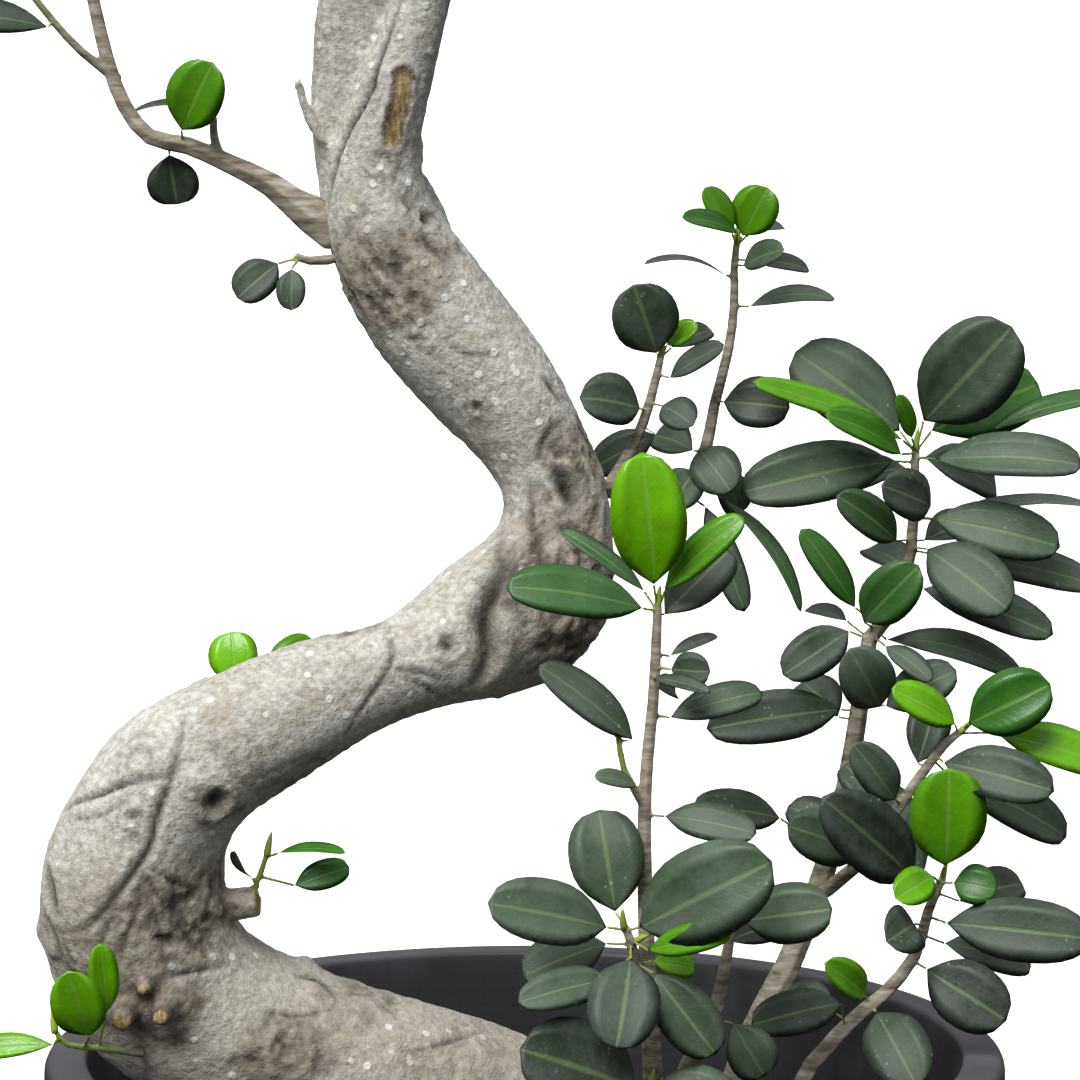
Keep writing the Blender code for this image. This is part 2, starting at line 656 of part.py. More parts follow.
def make_soil(parts, finish, wood):
    """The root ball and mix, one solid that fills the pot below the top, open where stems stand in it."""
    def inside(height):
        low, high = FLOOR + 4, POT_HEIGHT - 16
        share = (height - low) / (high - low)
        return BASE_RADIUS - 6 + (RIM_RADIUS - LIP_WIDTH - 1.5 - BASE_RADIUS + 6) * share - 2 * GAP

    profile = [
        (0.0, SOIL_TOP + SOIL_CROWN), (70.0, SOIL_TOP + 0.7 * SOIL_CROWN), (125.0, SOIL_TOP),
        (inside(SOIL_TOP), SOIL_TOP - 3), (inside(FLOOR + 5), FLOOR + 5),
        (BASE_RADIUS - 14, FLOOR + GAP), (0.0, FLOOR + GAP),
    ]
    soil = turned("soil", profile, TURN_STEPS, parts, finish)
    for name in ("trunk", "front_shoot", "side_shoot", "right_stem", "edge_shoot"):
        boolean(soil, "DIFFERENCE", wood.cutters[name])


def build():
    clear_scene()
    parts = new_collection("ficus_bonsai")
    blanks = new_collection("helpers", helper=True)
    plastic = material("charcoal_plastic", (0.045, 0.043, 0.048), 0.45)
    mix = material("potting_mix", (0.06, 0.04, 0.025), 0.95)
    bark = material("ficus_bark", (0.42, 0.39, 0.34), 0.8)
    foliage = material("ficus_leaf", (0.05, 0.11, 0.05), 0.4)

    wood = Wood(parts, blanks)
    wood.grow("trunk", TRUNK + LIMBS, bark, sides_step=2, parent_of=True)
    wood.grow("left_branch", LEFT_BRANCH, bark, LEFT_BRANCH_LEAVES, ("trunk",))
    for name, (routes, leaves) in SPROUTS.items():
        wood.grow(name, routes, foliage, leaves, ("trunk",))
    wood.grow("front_shoot", FRONT_STEM, foliage, FRONT_LEAVES, ("trunk",), parent_of=True)
    wood.grow("low_shoot", LOW_STEM, foliage, LOW_LEAVES, ("front_shoot",))
    wood.grow("lowest_shoot", LOWEST_STEM, foliage, LOWEST_LEAVES, ("front_shoot",))
    wood.grow("side_shoot", SIDE_STEM, foliage, SIDE_LEAVES, ("trunk",), parent_of=True)
    wood.grow("knee_branch", KNEE_BRANCH, foliage, KNEE_LEAVES, ("trunk",))
    wood.grow("right_stem", RIGHT_STEM, bark,
              TOP_RIGHT_LEAVES + MID_RIGHT_LEAVES + FORK_RIGHT_LEAVES, ("trunk",), parent_of=True)
    wood.grow("arm_shoot", ARM_STEM, foliage, ARM_LEAVES, ("right_stem",))
    wood.grow("edge_shoot", EDGE_STEM, foliage, EDGE_LEAVES, ("trunk",), parent_of=True)
    rng = random.Random(7)
    for number, (start, heading, parent) in enumerate(CROWN_SHOOTS):
        stem, leaves = crown_shoot(start, heading, rng)
        wood.grow(f"crown_shoot_{number + 1}", [stem], foliage, leaves, (parent,))
    make_pot(parts, blanks, plastic)
    make_soil(parts, mix, wood)


build()
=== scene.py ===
"""The looks of an S-bend ficus bonsai in its nursery pot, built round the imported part. Metres, +Z up.

X runs to the right, Y away from the front. Sizes are in millimetres times MM.
"""

import math
import random

import bmesh
import bpy
import numpy as np
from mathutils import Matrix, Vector, kdtree, noise
from mathutils.bvhtree import BVHTree


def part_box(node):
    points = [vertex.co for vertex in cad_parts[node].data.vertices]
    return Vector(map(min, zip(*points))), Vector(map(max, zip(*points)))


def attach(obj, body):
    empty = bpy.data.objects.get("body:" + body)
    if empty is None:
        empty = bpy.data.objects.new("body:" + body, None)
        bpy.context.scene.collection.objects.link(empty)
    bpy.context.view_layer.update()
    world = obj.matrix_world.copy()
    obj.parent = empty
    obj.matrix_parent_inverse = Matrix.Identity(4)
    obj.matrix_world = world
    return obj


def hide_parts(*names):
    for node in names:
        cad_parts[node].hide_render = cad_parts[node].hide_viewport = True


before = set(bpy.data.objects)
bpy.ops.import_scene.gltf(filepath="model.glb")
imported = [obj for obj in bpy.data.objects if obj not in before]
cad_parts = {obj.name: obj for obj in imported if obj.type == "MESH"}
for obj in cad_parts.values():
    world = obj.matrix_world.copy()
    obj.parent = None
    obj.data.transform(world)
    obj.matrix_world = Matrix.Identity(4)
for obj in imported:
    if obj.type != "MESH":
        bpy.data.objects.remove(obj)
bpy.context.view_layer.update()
MM = 0.001

# ---------------------------------------------------------------- studio
# A plain pale floor that sweeps up into a round wall, under one broad soft light from above and
# the front left. The sweep sends no light back, so the wood keeps its dark undersides.

EYE = Vector((5.5 * MM, -1.1, 556 * MM))
EYE_TILT = 4.2
EYE_LENS = 101.0
SWEEP_RADIUS = 7.0
SWEEP_BEND = 2.5
SWEEP_HEIGHT = 6.5
KEY_STRENGTH = 3.9
KEY_SPREAD = 36.0
KEY_TILT = 40.0
KEY_TURN = -28.0


def linear(code):
    """The linear colour of an sRGB hex code."""
    parts = [int(code[i:i + 2], 16) / 255 for i in (1, 3, 5)]
    return (*[c / 12.92 if c <= 0.04045 else ((c + 0.055) / 1.055) ** 2.4 for c in parts], 1.0)


def add(tree, kind, settings=None, inputs=None):
    """Adds a node. An input is a value, a hex colour, or a node or socket to link from."""
    node = tree.nodes.new(kind)
    for name, value in (settings or {}).items():
        if name == "stops":
            marks = node.color_ramp.elements
            marks[0].position, marks[1].position = value[0][0], value[-1][0]
            for place, _ in value[1:-1]:
                marks.new(place)
            for mark, (_, color) in zip(marks, value):
                mark.color = linear(color)
        else:
            setattr(node, name, value)
    for name, value in (inputs or {}).items():
        if isinstance(value, bpy.types.Node):
            value = next(output for output in value.outputs if output.enabled)
        if isinstance(value, bpy.types.NodeSocket):
            tree.links.new(value, node.inputs[name])
        else:
            is_color = isinstance(value, str) and value.startswith("#")
            node.inputs[name].default_value = linear(value) if is_color else value
    return node


def per_metre(*sizes):
    """Pattern scales along X, Y and Z for repeats of these sizes in mm."""
    return tuple(1 / (size * MM) for size in sizes)


def new_material(name):
    made = bpy.data.materials.new(name)
    made.use_nodes = True
    made.node_tree.nodes.clear()
    return made, made.node_tree


def link_object(name, mesh):
    obj = bpy.data.objects.new(name, mesh)
    bpy.context.scene.collection.objects.link(obj)
    return obj


def turned(name, profile, steps):
    """A mesh turned about Z from (radius, height) points in metres."""
    shell = bmesh.new()
    verts = [shell.verts.new((radius, 0.0, height)) for radius, height in profile]
    edges = [shell.edges.new(pair) for pair in zip(verts, verts[1:])]
    bmesh.ops.spin(shell, geom=verts + edges, axis=(0, 0, 1), cent=(0, 0, 0), angle=2 * math.pi, steps=steps)
    bmesh.ops.remove_doubles(shell, verts=shell.verts, dist=0.01 * MM)
    bmesh.ops.recalc_face_normals(shell, faces=shell.faces)
    mesh = bpy.data.meshes.new(name)
    shell.to_mesh(mesh)
    shell.free()
    mesh.shade_smooth()
    return mesh


paper, tree = new_material("matt_white_paper")
sheet = add(tree, "ShaderNodeBsdfPrincipled", {}, {
    "Base Color": "#ecebe8", "Roughness": 0.9, "Emission Color": "#ffffff", "Emission Strength": 0.42,
})
add(tree, "ShaderNodeOutputMaterial", {}, {"Surface": sheet})

bend = [math.radians(a) for a in range(0, 91, 9)]
sweep_profile = [(0.0, 0.0), *[
    (SWEEP_RADIUS + SWEEP_BEND * (math.sin(a) - 1), SWEEP_BEND * (1 - math.cos(a))) for a in bend
], (SWEEP_RADIUS, SWEEP_HEIGHT)]
sweep = link_object("studio_sweep", turned("studio_sweep", sweep_profile, 96))
sweep.data.materials.append(paper)
sweep.visible_diffuse = False
sweep.visible_glossy = False
sweep.visible_shadow = False

key_light = bpy.data.lights.new("soft_key", "SUN")
key_light.energy = KEY_STRENGTH
key_light.angle = math.radians(KEY_SPREAD)
key = bpy.data.objects.new("soft_key", key_light)
key.rotation_euler = (math.radians(KEY_TILT), 0.0, math.radians(KEY_TURN))
bpy.context.scene.collection.objects.link(key)

world = bpy.data.worlds.new("studio_air")
world.use_nodes = True
world.node_tree.nodes.clear()
tree = world.node_tree
way = add(tree, "ShaderNodeTexCoord")
height = add(tree, "ShaderNodeSeparateXYZ", {}, {0: way.outputs["Generated"]})
glow = add(tree, "ShaderNodeMapRange", {}, {
    "Value": height.outputs["Z"], "From Min": -0.25, "From Max": 0.9, "To Min": 0.02, "To Max": 0.80,
})
air = add(tree, "ShaderNodeBackground", {}, {"Color": "#f7f9ff", "Strength": glow})
add(tree, "ShaderNodeOutputWorld", {}, {"Surface": air})
bpy.context.scene.world = world
bpy.context.scene.view_settings.view_transform = "Standard"

camera_data = bpy.data.cameras.new("camera")
camera_data.lens = EYE_LENS
camera_data.sensor_width = 36.0
camera = bpy.data.objects.new("camera", camera_data)
camera.location = EYE
camera.rotation_euler = (math.radians(90 - EYE_TILT), 0.0, 0.0)
bpy.context.scene.collection.objects.link(camera)
bpy.context.scene.camera = camera

# ---------------------------------------------------------------- pot
# A round nursery pot, injection moulded in charcoal polypropylene, with a rolled lip and six drain
# holes in its foot. Moulding leaves it satin, and handling rubs the lip and dusts the wall.

_, pot_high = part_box("pot")
RIM = pot_high.x
POT_TOP = pot_high.z
LIP_WIDTH = 17 * MM
LIP_DEPTH = 14 * MM
POT_WALL = 3 * MM
POT_FLOOR = 4 * MM
FOOT_RADIUS = 120 * MM
DRAIN_CIRCLE = 88 * MM
DRAIN_RADIUS = 6 * MM
DRAIN_COUNT = 6


def rounded(points, radii, steps=5):
    """The outline with each corner cut to a soft curve that starts `radius` before it."""
    outline = [Vector(points[0])]
    for before, corner, after, radius in zip(points, points[1:], points[2:], radii):
        corner = Vector(corner)
        start = corner + (Vector(before) - corner).normalized() * radius
        end = corner + (Vector(after) - corner).normalized() * radius
        for i in range(steps + 1):
            t = i / steps
            outline.append(start * (1 - t) ** 2 + corner * 2 * t * (1 - t) + end * t ** 2)
    return [*outline, Vector(points[-1])]


def evaluated(obj):
    """What the object's modifiers make of it, as a plain mesh with its attributes."""
    graph = bpy.context.evaluated_depsgraph_get()
    return bpy.data.meshes.new_from_object(
        obj.evaluated_get(graph), preserve_all_data_layers=True, depsgraph=graph
    )


def place_piece(name, mesh, finish, nodes=()):
    """A finished piece on the tree's one body."""
    mesh.materials.clear()
    mesh.materials.append(finish)
    piece = link_object(name, mesh)
    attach(piece, "root")
    if nodes:
        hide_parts(*nodes)
    return piece


mouth = RIM - LIP_WIDTH
under_lip = POT_TOP - LIP_DEPTH
neck = mouth + POT_WALL
pot_corners = [
    (0.0, POT_FLOOR), (FOOT_RADIUS - 8 * MM, POT_FLOOR), (mouth, POT_TOP - 10 * MM),
    (mouth + 2 * MM, POT_TOP), (RIM, POT_TOP), (RIM, under_lip), (RIM - POT_WALL, under_lip),
    (RIM - POT_WALL - MM, under_lip + 7 * MM), (neck, under_lip + 7 * MM), (neck, under_lip - 4 * MM),
    (FOOT_RADIUS + MM, 4 * MM), (FOOT_RADIUS - 4 * MM, 0.0), (0.0, 0.0),
]
pot_rounds = [r * MM for r in (6, 5, 2, 5, 1, 1, 1.5, 1.5, 2, 2, 2.5)]
pot = link_object("pot_turned", turned("pot_shell", rounded(pot_corners, pot_rounds), 144))

drill = bmesh.new()
for number in range(DRAIN_COUNT):
    angle = 2 * math.pi * number / DRAIN_COUNT
    made = bmesh.ops.create_cone(
        drill, cap_ends=True, segments=28, radius1=DRAIN_RADIUS, radius2=DRAIN_RADIUS, depth=4 * POT_FLOOR
    )
    where = Vector((DRAIN_CIRCLE * math.cos(angle), DRAIN_CIRCLE * math.sin(angle), 0.0))
    bmesh.ops.translate(drill, verts=made["verts"], vec=where)
drill_mesh = bpy.data.meshes.new("drain_drill")
drill.to_mesh(drill_mesh)
drill.free()
drill_object = link_object("drain_drill", drill_mesh)
holes = pot.modifiers.new("Drain holes", "BOOLEAN")
holes.operation = "DIFFERENCE"
holes.object = drill_object
pot_mesh = evaluated(pot)
pot_mesh.set_sharp_from_angle(angle=math.radians(50))
bpy.data.objects.remove(pot)
bpy.data.objects.remove(drill_object)

# Moulded polypropylene: satin charcoal, a faint orange-peel grain, pale rubbed dust in patches.
charcoal, tree = new_material("moulded_polypropylene")
coords = add(tree, "ShaderNodeTexCoord").outputs["Object"]
clouds = add(tree, "ShaderNodeTexNoise", {}, {
    "Vector": coords, "Scale": 1 / (71 * MM), "Detail": 5.0, "Roughness": 0.6,
})
streaks = add(tree, "ShaderNodeMapping", {}, {"Vector": coords, "Scale": per_metre(16.7, 16.7, 143)})
runs = add(tree, "ShaderNodeTexNoise", {}, {"Vector": streaks, "Scale": 1.0, "Detail": 3.0})
dust = add(tree, "ShaderNodeMath", {"operation": "MULTIPLY"}, {0: clouds.outputs[0], 1: runs.outputs[0]})
dusting = add(tree, "ShaderNodeMapRange", {}, {
    "Value": dust, "From Min": 0.22, "From Max": 0.42, "To Min": 0.0, "To Max": 0.5,
})
plastic = add(tree, "ShaderNodeMix", {"data_type": "RGBA"}, {0: dusting, 6: "#26262a", 7: "#4b4b50"})
upright = add(tree, "ShaderNodeSeparateXYZ", {}, {0: coords})
rubbed = add(tree, "ShaderNodeMapRange", {}, {
    "Value": upright.outputs["Z"], "From Min": POT_TOP - 2.5 * MM, "From Max": POT_TOP,
    "To Min": 0.0, "To Max": 0.35,
})
skin = add(tree, "ShaderNodeMix", {"data_type": "RGBA"}, {0: rubbed, 6: plastic, 7: "#5c5b60"})
grain = add(tree, "ShaderNodeTexNoise", {}, {"Vector": coords, "Scale": 1 / (1.11 * MM), "Detail": 2.0})
rings = add(tree, "ShaderNodeTexWave", {"bands_direction": "Z"}, {"Vector": coords, "Scale": 1 / (16.7 * MM)})
relief_height = add(tree, "ShaderNodeMath", {"operation": "MULTIPLY_ADD"}, {
    0: rings.outputs[1], 1: 0.25, 2: grain.outputs[0],
})
peel = add(tree, "ShaderNodeBump", {}, {"Strength": 0.16, "Distance": 0.4 * MM, "Height": relief_height})
satin = add(tree, "ShaderNodeMapRange", {}, {
    "Value": clouds.outputs[0], "From Min": 0.3, "From Max": 0.7, "To Min": 0.40, "To Max": 0.58,
})
shell = add(tree, "ShaderNodeBsdfPrincipled", {}, {
    "Base Color": skin, "Roughness": satin, "Normal": peel, "IOR": 1.49,
})
add(tree, "ShaderNodeOutputMaterial", {}, {"Surface": shell})
place_piece("nursery_pot", pot_mesh, charcoal, ["pot"])

# ---------------------------------------------------------------- potting mix
# Damp loam with bark and grit, pressed into the pot well below its rim. Its top is uneven and
# strewn with loose crumbs.

_, soil_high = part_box("soil")
SOIL_EDGE = soil_high.x
SOIL_TOP = soil_high.z
SOIL_CROWN = 4 * MM
CRUMBS_PER_M2 = 34000.0
CRUMB_SMALL, CRUMB_LARGE = 1.6 * MM, 4.2 * MM
CRUMB_KINDS = 4
RUMPLE = 2.2 * MM
RUMPLE_DROP = 1.6 * MM
RUMPLE_SIZE = 16 * MM

slope = [(SOIL_EDGE * i / 44, SOIL_TOP - SOIL_CROWN * (i / 44) ** 2) for i in range(45)]
wall = [
    (SOIL_EDGE - 0.2 * MM, SOIL_TOP - 8 * MM), (FOOT_RADIUS - 9 * MM, POT_FLOOR + MM), (0.0, POT_FLOOR + MM),
]
soil_mesh = turned("soil_body", slope + wall, 132)
for vertex in soil_mesh.vertices:
    if vertex.co.z > SOIL_TOP - 2 * SOIL_CROWN:
        rumple = noise.fractal(vertex.co / RUMPLE_SIZE, 0.8, 2.1, 4)
        vertex.co.z += RUMPLE * rumple - RUMPLE_DROP

crumb_box = bpy.data.collections.new("crumb_kinds")
rng = random.Random(11)
for number in range(CRUMB_KINDS):
    crumb = bmesh.new()
    bmesh.ops.create_icosphere(crumb, subdivisions=2 if number == 0 else 1, radius=1.0)
    for vertex in crumb.verts:
        vertex.co *= 1 + 0.45 * noise.noise(vertex.co * 1.3 + Vector((7.0 * number, 0, 0)))
        vertex.co.z *= rng.uniform(0.5, 0.9)
    crumb_mesh = bpy.data.meshes.new(f"crumb_{number}")
    crumb.to_mesh(crumb_mesh)
    crumb.free()
    crumb_box.objects.link(bpy.data.objects.new(f"crumb_{number}", crumb_mesh))

# Peaty loam: near-black brown with lighter bark flecks, quite matt.
loam, tree = new_material("peaty_loam")
coords = add(tree, "ShaderNodeTexCoord").outputs["Object"]
flecks = add(tree, "ShaderNodeTexVoronoi", {}, {"Vector": coords, "Scale": 1 / (3.85 * MM)})
damp = add(tree, "ShaderNodeTexNoise", {}, {"Vector": coords, "Scale": 1 / (33.3 * MM), "Detail": 4.0})
earth = add(tree, "ShaderNodeValToRGB", {"stops": [(0.3, "#1d1611"), (0.55, "#33261c"), (0.8, "#4a3828")]}, {
    0: damp.outputs[0],
})
bits = add(tree, "ShaderNodeValToRGB", {"stops": [(0.0, "#2a1f17"), (0.8, "#3a2c20"), (1.0, "#8a7458")]}, {
    0: flecks.outputs["Color"],
})
ground = add(tree, "ShaderNodeMix", {"data_type": "RGBA"}, {0: 0.5, 6: earth, 7: bits})
pores = add(tree, "ShaderNodeTexNoise", {}, {"Vector": coords, "Scale": 1 / (1.43 * MM), "Detail": 3.0})
crust = add(tree, "ShaderNodeBump", {}, {"Strength": 0.6, "Distance": MM, "Height": pores.outputs[0]})
body = add(tree, "ShaderNodeBsdfPrincipled", {}, {"Base Color": ground, "Roughness": 0.95, "Normal": crust})
add(tree, "ShaderNodeOutputMaterial", {}, {"Surface": body})


def new_tree(name, inputs):
    """An empty Geometry Nodes tree with its named inputs, and the node that hands them on."""
    group = bpy.data.node_groups.new(name, "GeometryNodeTree")
    group.interface.new_socket("Geometry", in_out="INPUT", socket_type="NodeSocketGeometry")
    for label, kind in inputs:
        group.interface.new_socket(label, in_out="INPUT", socket_type=kind)
    group.interface.new_socket("Geometry", in_out="OUTPUT", socket_type="NodeSocketGeometry")
    return group, group.nodes.new("NodeGroupInput")


def grown(mesh, group, values):
    """The mesh after the tree, with the tree's named inputs set."""
    holder = link_object(mesh.name + "_holder", mesh)
    modifier = holder.modifiers.new(group.name, "NODES")
    modifier.node_group = group
    for item in group.interface.items_tree:
        if item.in_out == "INPUT" and item.name in values:
            modifier[item.identifier] = values[item.name]
    result = evaluated(holder)
    bpy.data.objects.remove(holder)
    return result


strewing, given = new_tree("strewn_crumbs", [
    ("Crumbs", "NodeSocketCollection"), ("Density", "NodeSocketFloat"), ("Smallest", "NodeSocketFloat"),
    ("Largest", "NodeSocketFloat"), ("Seed", "NodeSocketInt"), ("Finish", "NodeSocketMaterial"),
])
facing = add(strewing, "GeometryNodeInputNormal")
facing_z = add(strewing, "ShaderNodeSeparateXYZ", {}, {0: facing})
is_top = add(strewing, "FunctionNodeCompare", {"operation": "GREATER_THAN"}, {
    0: facing_z.outputs["Z"], 1: 0.5,
})
spots = add(strewing, "GeometryNodeDistributePointsOnFaces", {}, {
    "Mesh": given.outputs["Geometry"], "Selection": is_top, "Density": given.outputs["Density"],
    "Seed": given.outputs["Seed"],
})
kinds = add(strewing, "GeometryNodeCollectionInfo", {}, {
    "Collection": given.outputs["Crumbs"], "Separate Children": True, "Reset Children": True,
})
turns = add(strewing, "FunctionNodeRandomValue", {"data_type": "FLOAT_VECTOR"}, {
    "Max": (6.28, 6.28, 6.28), "Seed": given.outputs["Seed"],
})
sizes = add(strewing, "FunctionNodeRandomValue", {"data_type": "FLOAT"}, {
    2: given.outputs["Smallest"], 3: given.outputs["Largest"], "Seed": given.outputs["Seed"],
})
strewn = add(strewing, "GeometryNodeInstanceOnPoints", {}, {
    "Points": spots.outputs["Points"], "Instance": kinds, "Pick Instance": True,
    "Rotation": turns, "Scale": sizes.outputs[1],
})
together = add(strewing, "GeometryNodeJoinGeometry", {}, {0: strewn})
strewing.links.new(given.outputs["Geometry"], together.inputs[0])
real = add(strewing, "GeometryNodeRealizeInstances", {}, {0: together})
finished = add(strewing, "GeometryNodeSetMaterial", {}, {0: real, "Material": given.outputs["Finish"]})
add(strewing, "NodeGroupOutput", {}, {0: finished})
crumbed = grown(soil_mesh, strewing, {
    "Crumbs": crumb_box, "Density": CRUMBS_PER_M2, "Smallest": CRUMB_SMALL, "Largest": CRUMB_LARGE,
    "Seed": 5, "Finish": loam,
})
place_piece("potting_mix", crumbed, loam, ["soil"])

# ---------------------------------------------------------------- trunk
# A ficus trunk trained in an S while young and then grown thick. The bark is thin, grey and
# wrinkled, with folds in the bends, pruning scars, knot holes and one open wound.

TRUNK_NET = 1.65 * MM
EASE_ROUNDS = 110
SLIM_ROUNDS = 5
GRAIN_RADIUS = 25 * MM
TRUNK_LINE = [
    (66, -2, 196), (8, -24, 256), (-68, -48, 291), (-126, -63, 327), (-137, -69, 354), (-116, -71, 401),
    (-66, -62, 427), (-16, -38, 446), (10, -22, 483), (-11, -20, 532), (-49, -20, 584), (-50, -24, 630),
    (-40, -22, 690), (-14, -10, 760), (0, 0, 830),
]
# Upright planes that the marks below are set out on, as seen from the front: x and height in mm.
LOW_PLANE = -70
HIGH_PLANE = -20
CREASES = [
    (LOW_PLANE, 1.5, 2.2, [(-116, 420), (-120, 402), (-126, 385), (-128, 376), (-132, 369), (-140, 358),
                           (-150, 347), (-158, 345)]),
    (LOW_PLANE, 1.3, 1.8, [(-121, 399), (-135, 397), (-146, 393), (-158, 387)]),
    (LOW_PLANE, 0.9, 0.6, [(-157, 384), (-145, 386), (-135, 392)]),
    (LOW_PLANE, 1.1, 1.0, [(-132, 368), (-126, 358), (-121, 350)]),
    (LOW_PLANE, 1.1, 0.9, [(-132, 367), (-133, 354), (-138, 341), (-140, 330)]),
    (LOW_PLANE, 1.0, 0.8, [(-131, 369), (-119, 362), (-110, 360)]),
    (LOW_PLANE, 1.0, 0.8, [(-139, 357), (-146, 340), (-149, 324)]),
    (LOW_PLANE, 1.0, 0.7, [(-128, 352), (-124, 341), (-126, 332)]),
    (LOW_PLANE, 2.3, 3.4, [(-163, 367), (-162, 359), (-160, 350)]),
    (LOW_PLANE, 1.2, 1.2, [(-130, 328), (-120, 330), (-111, 332), (-102, 334)]),
    (LOW_PLANE, 1.2, 1.0, [(-47, 452), (-45, 440), (-50, 430), (-57, 420), (-62, 412)]),
    (LOW_PLANE, 1.2, 0.9, [(-45, 436), (-35, 435), (-27, 432)]),
    (LOW_PLANE, 1.0, 0.7, [(-42, 434), (-34, 430), (-27, 426)]),
    (LOW_PLANE, 3.6, 7.0, [(-5, 478), (-8, 468), (-13, 455), (-12, 440), (-11, 424)]),
    (LOW_PLANE, 1.0, 0.7, [(-40, 303), (-28, 306), (-15, 310)]),
    (LOW_PLANE, 0.9, 0.6, [(-92, 318), (-80, 316), (-66, 318)]),
    (LOW_PLANE, 1.4, 1.2, [(-78, 330), (-70, 328), (-60, 329)]),
    (HIGH_PLANE, 1.4, 2.2,
     [(-42, 672), (-47, 658), (-52, 645), (-55, 635), (-62, 622), (-67, 608), (-69, 585)]),
    (HIGH_PLANE, 0.9, 0.9, [(-43, 549), (-38, 548), (-33, 549)]),
    (HIGH_PLANE, 0.9, 0.9, [(-28, 547), (-21, 543), (-14, 543), (-8, 542)]),
    (HIGH_PLANE, 1.3, 0.9, [(6, 535), (10, 530), (14, 525)]),
    (HIGH_PLANE, 3.2, 5.0, [(12, 500), (15, 494), (19, 487)]),
    (HIGH_PLANE, 1.2, 1.2, [(4, 505), (8, 515), (15, 520)]),
    (HIGH_PLANE, 1.3, 1.3, [(2, 497), (3, 480), (8, 462), (10, 445)]),
    (HIGH_PLANE, 1.2, 1.2, [(24, 484), (20, 470), (18, 452), (14, 440)]),
    (HIGH_PLANE, 1.0, 1.0, [(12, 474), (12, 460), (4, 448)]),
]
# Knots and scars: plane, x, height, radius, hollow depth, ring height.
KNOTS = [
    (LOW_PLANE, -26, 444, 4.6, 2.2, 0.9), (LOW_PLANE, -132, 405, 6.2, -0.2, 0.7),
    (LOW_PLANE, -97, 406, 4.5, 0.1, 0.4), (LOW_PLANE, -106, 390, 5.6, 3.6, 1.4),
    (LOW_PLANE, -134, 385, 3.8, 1.6, 0.9), (LOW_PLANE, -133, 378, 2.6, 0.9, 0.4),
    (LOW_PLANE, -81, 303, 8.0, 0.9, 1.0), (LOW_PLANE, -81, 303, 3.6, 0.8, 0.8),
    (LOW_PLANE, -127, 315, 12.5, 3.0, 1.8), (HIGH_PLANE, -54, 637, 3.6, 1.8, 1.2),
    (HIGH_PLANE, -51, 611, 4.4, 0.5, 0.9), (HIGH_PLANE, -51, 611, 1.8, 0.6, 0.5),
    (HIGH_PLANE, -63, 646, 2.6, 0.9, 0.5), (HIGH_PLANE, -17, 524, 2.8, 1.5, 0.6),
    (HIGH_PLANE, -41, 600, 2.2, 0.8, 0.4), (HIGH_PLANE, -35, 591, 4.2, 2.4, 0.9),
    (HIGH_PLANE, -34, 551, 4.6, 0.3, 0.7), (HIGH_PLANE, 16, 492, 5.0, 3.0, 0.5),
    (LOW_PLANE, -18, 455, 3.0, 1.2, 0.4), (LOW_PLANE, -38, 412, 2.4, 0.6, 0.3),
]
# Rough fissured bark: plane, x, height, half width, half height, strength.
ROUGH = [
    (HIGH_PLANE, -48, 572, 26, 24, 1.0), (HIGH_PLANE, 14, 462, 26, 46, 1.0),
    (HIGH_PLANE, 18, 508, 14, 14, 0.9), (LOW_PLANE, -116, 352, 24, 20, 1.0),
    (LOW_PLANE, -142, 338, 26, 30, 0.75), (LOW_PLANE, -81, 303, 22, 13, 0.8),
    (LOW_PLANE, -60, 320, 20, 10, 0.6), (LOW_PLANE, -127, 315, 20, 16, 0.9),
    (LOW_PLANE, -72, 400, 30, 12, 0.45), (LOW_PLANE, -106, 390, 12, 9, 0.6),
    (LOW_PLANE, -20, 300, 26, 14, 0.35),
]
# Lumps of callus: plane, x, height, radius, height of the lump.
LUMPS = [
    (LOW_PLANE, -167, 345, 7, 2.2), (LOW_PLANE, -162, 338, 5, 1.6), (LOW_PLANE, -75, 334, 6, 2.6),
    (LOW_PLANE, -67, 333, 5, 1.8), (LOW_PLANE, -148, 300, 7, 1.4), (LOW_PLANE, -139, 324, 5, 1.6),
    (LOW_PLANE, -114, 322, 5, 1.4), (HIGH_PLANE, -43, 590, 8, 1.2), (LOW_PLANE, -112, 396, 8, 1.0),
]
# The open wound shows bare tan wood, and so do the sawn ends of the snags.
WOUND = [(-43, 641), (-44, 632), (-46, 625), (-47, 619)]
WOUND_WIDTH = 3.2
SAWN_ENDS = [
    ((-91, -71, 356), 5.0), ((-134, -106, 322), 3.4), ((-121, -106, 323), 3.2), ((-127, -103, 332), 2.0),
]
BACK_KNOTS = 34
BACK_CREASES = 12
BACK_TORN = 9


def merged_copy(node):
    """A part's own shape with its loose triangles joined up, ready to edit."""
    solid = bmesh.new()
    solid.from_mesh(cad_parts[node].data)
    bmesh.ops.remove_doubles(solid, verts=solid.verts, dist=0.01 * MM)
    return solid


def even_net(solid, name, cell, rounds):
    """The shape in an even net of faces, a little eased."""
    mesh = bpy.data.meshes.new(name)
    solid.to_mesh(mesh)
    solid.free()
    holder = link_object(name + "_rough", mesh)
    net = holder.modifiers.new("Even net", "REMESH")
    net.mode = "VOXEL"
    net.voxel_size = cell
    easing = holder.modifiers.new("Easing", "SMOOTH")
    easing.iterations = rounds
    result = evaluated(holder)
    bpy.data.objects.remove(holder)
    result.name = name
    return result


def points_of(mesh):
    points = np.empty(len(mesh.vertices) * 3, np.float32)
    mesh.vertices.foreach_get("co", points)
    return points.reshape(-1, 3).astype(float)


def normals_of(mesh):
    normals = np.empty(len(mesh.vertices) * 3, np.float32)
    mesh.vertex_normals.foreach_get("vector", normals)
    return normals.reshape(-1, 3).astype(float)


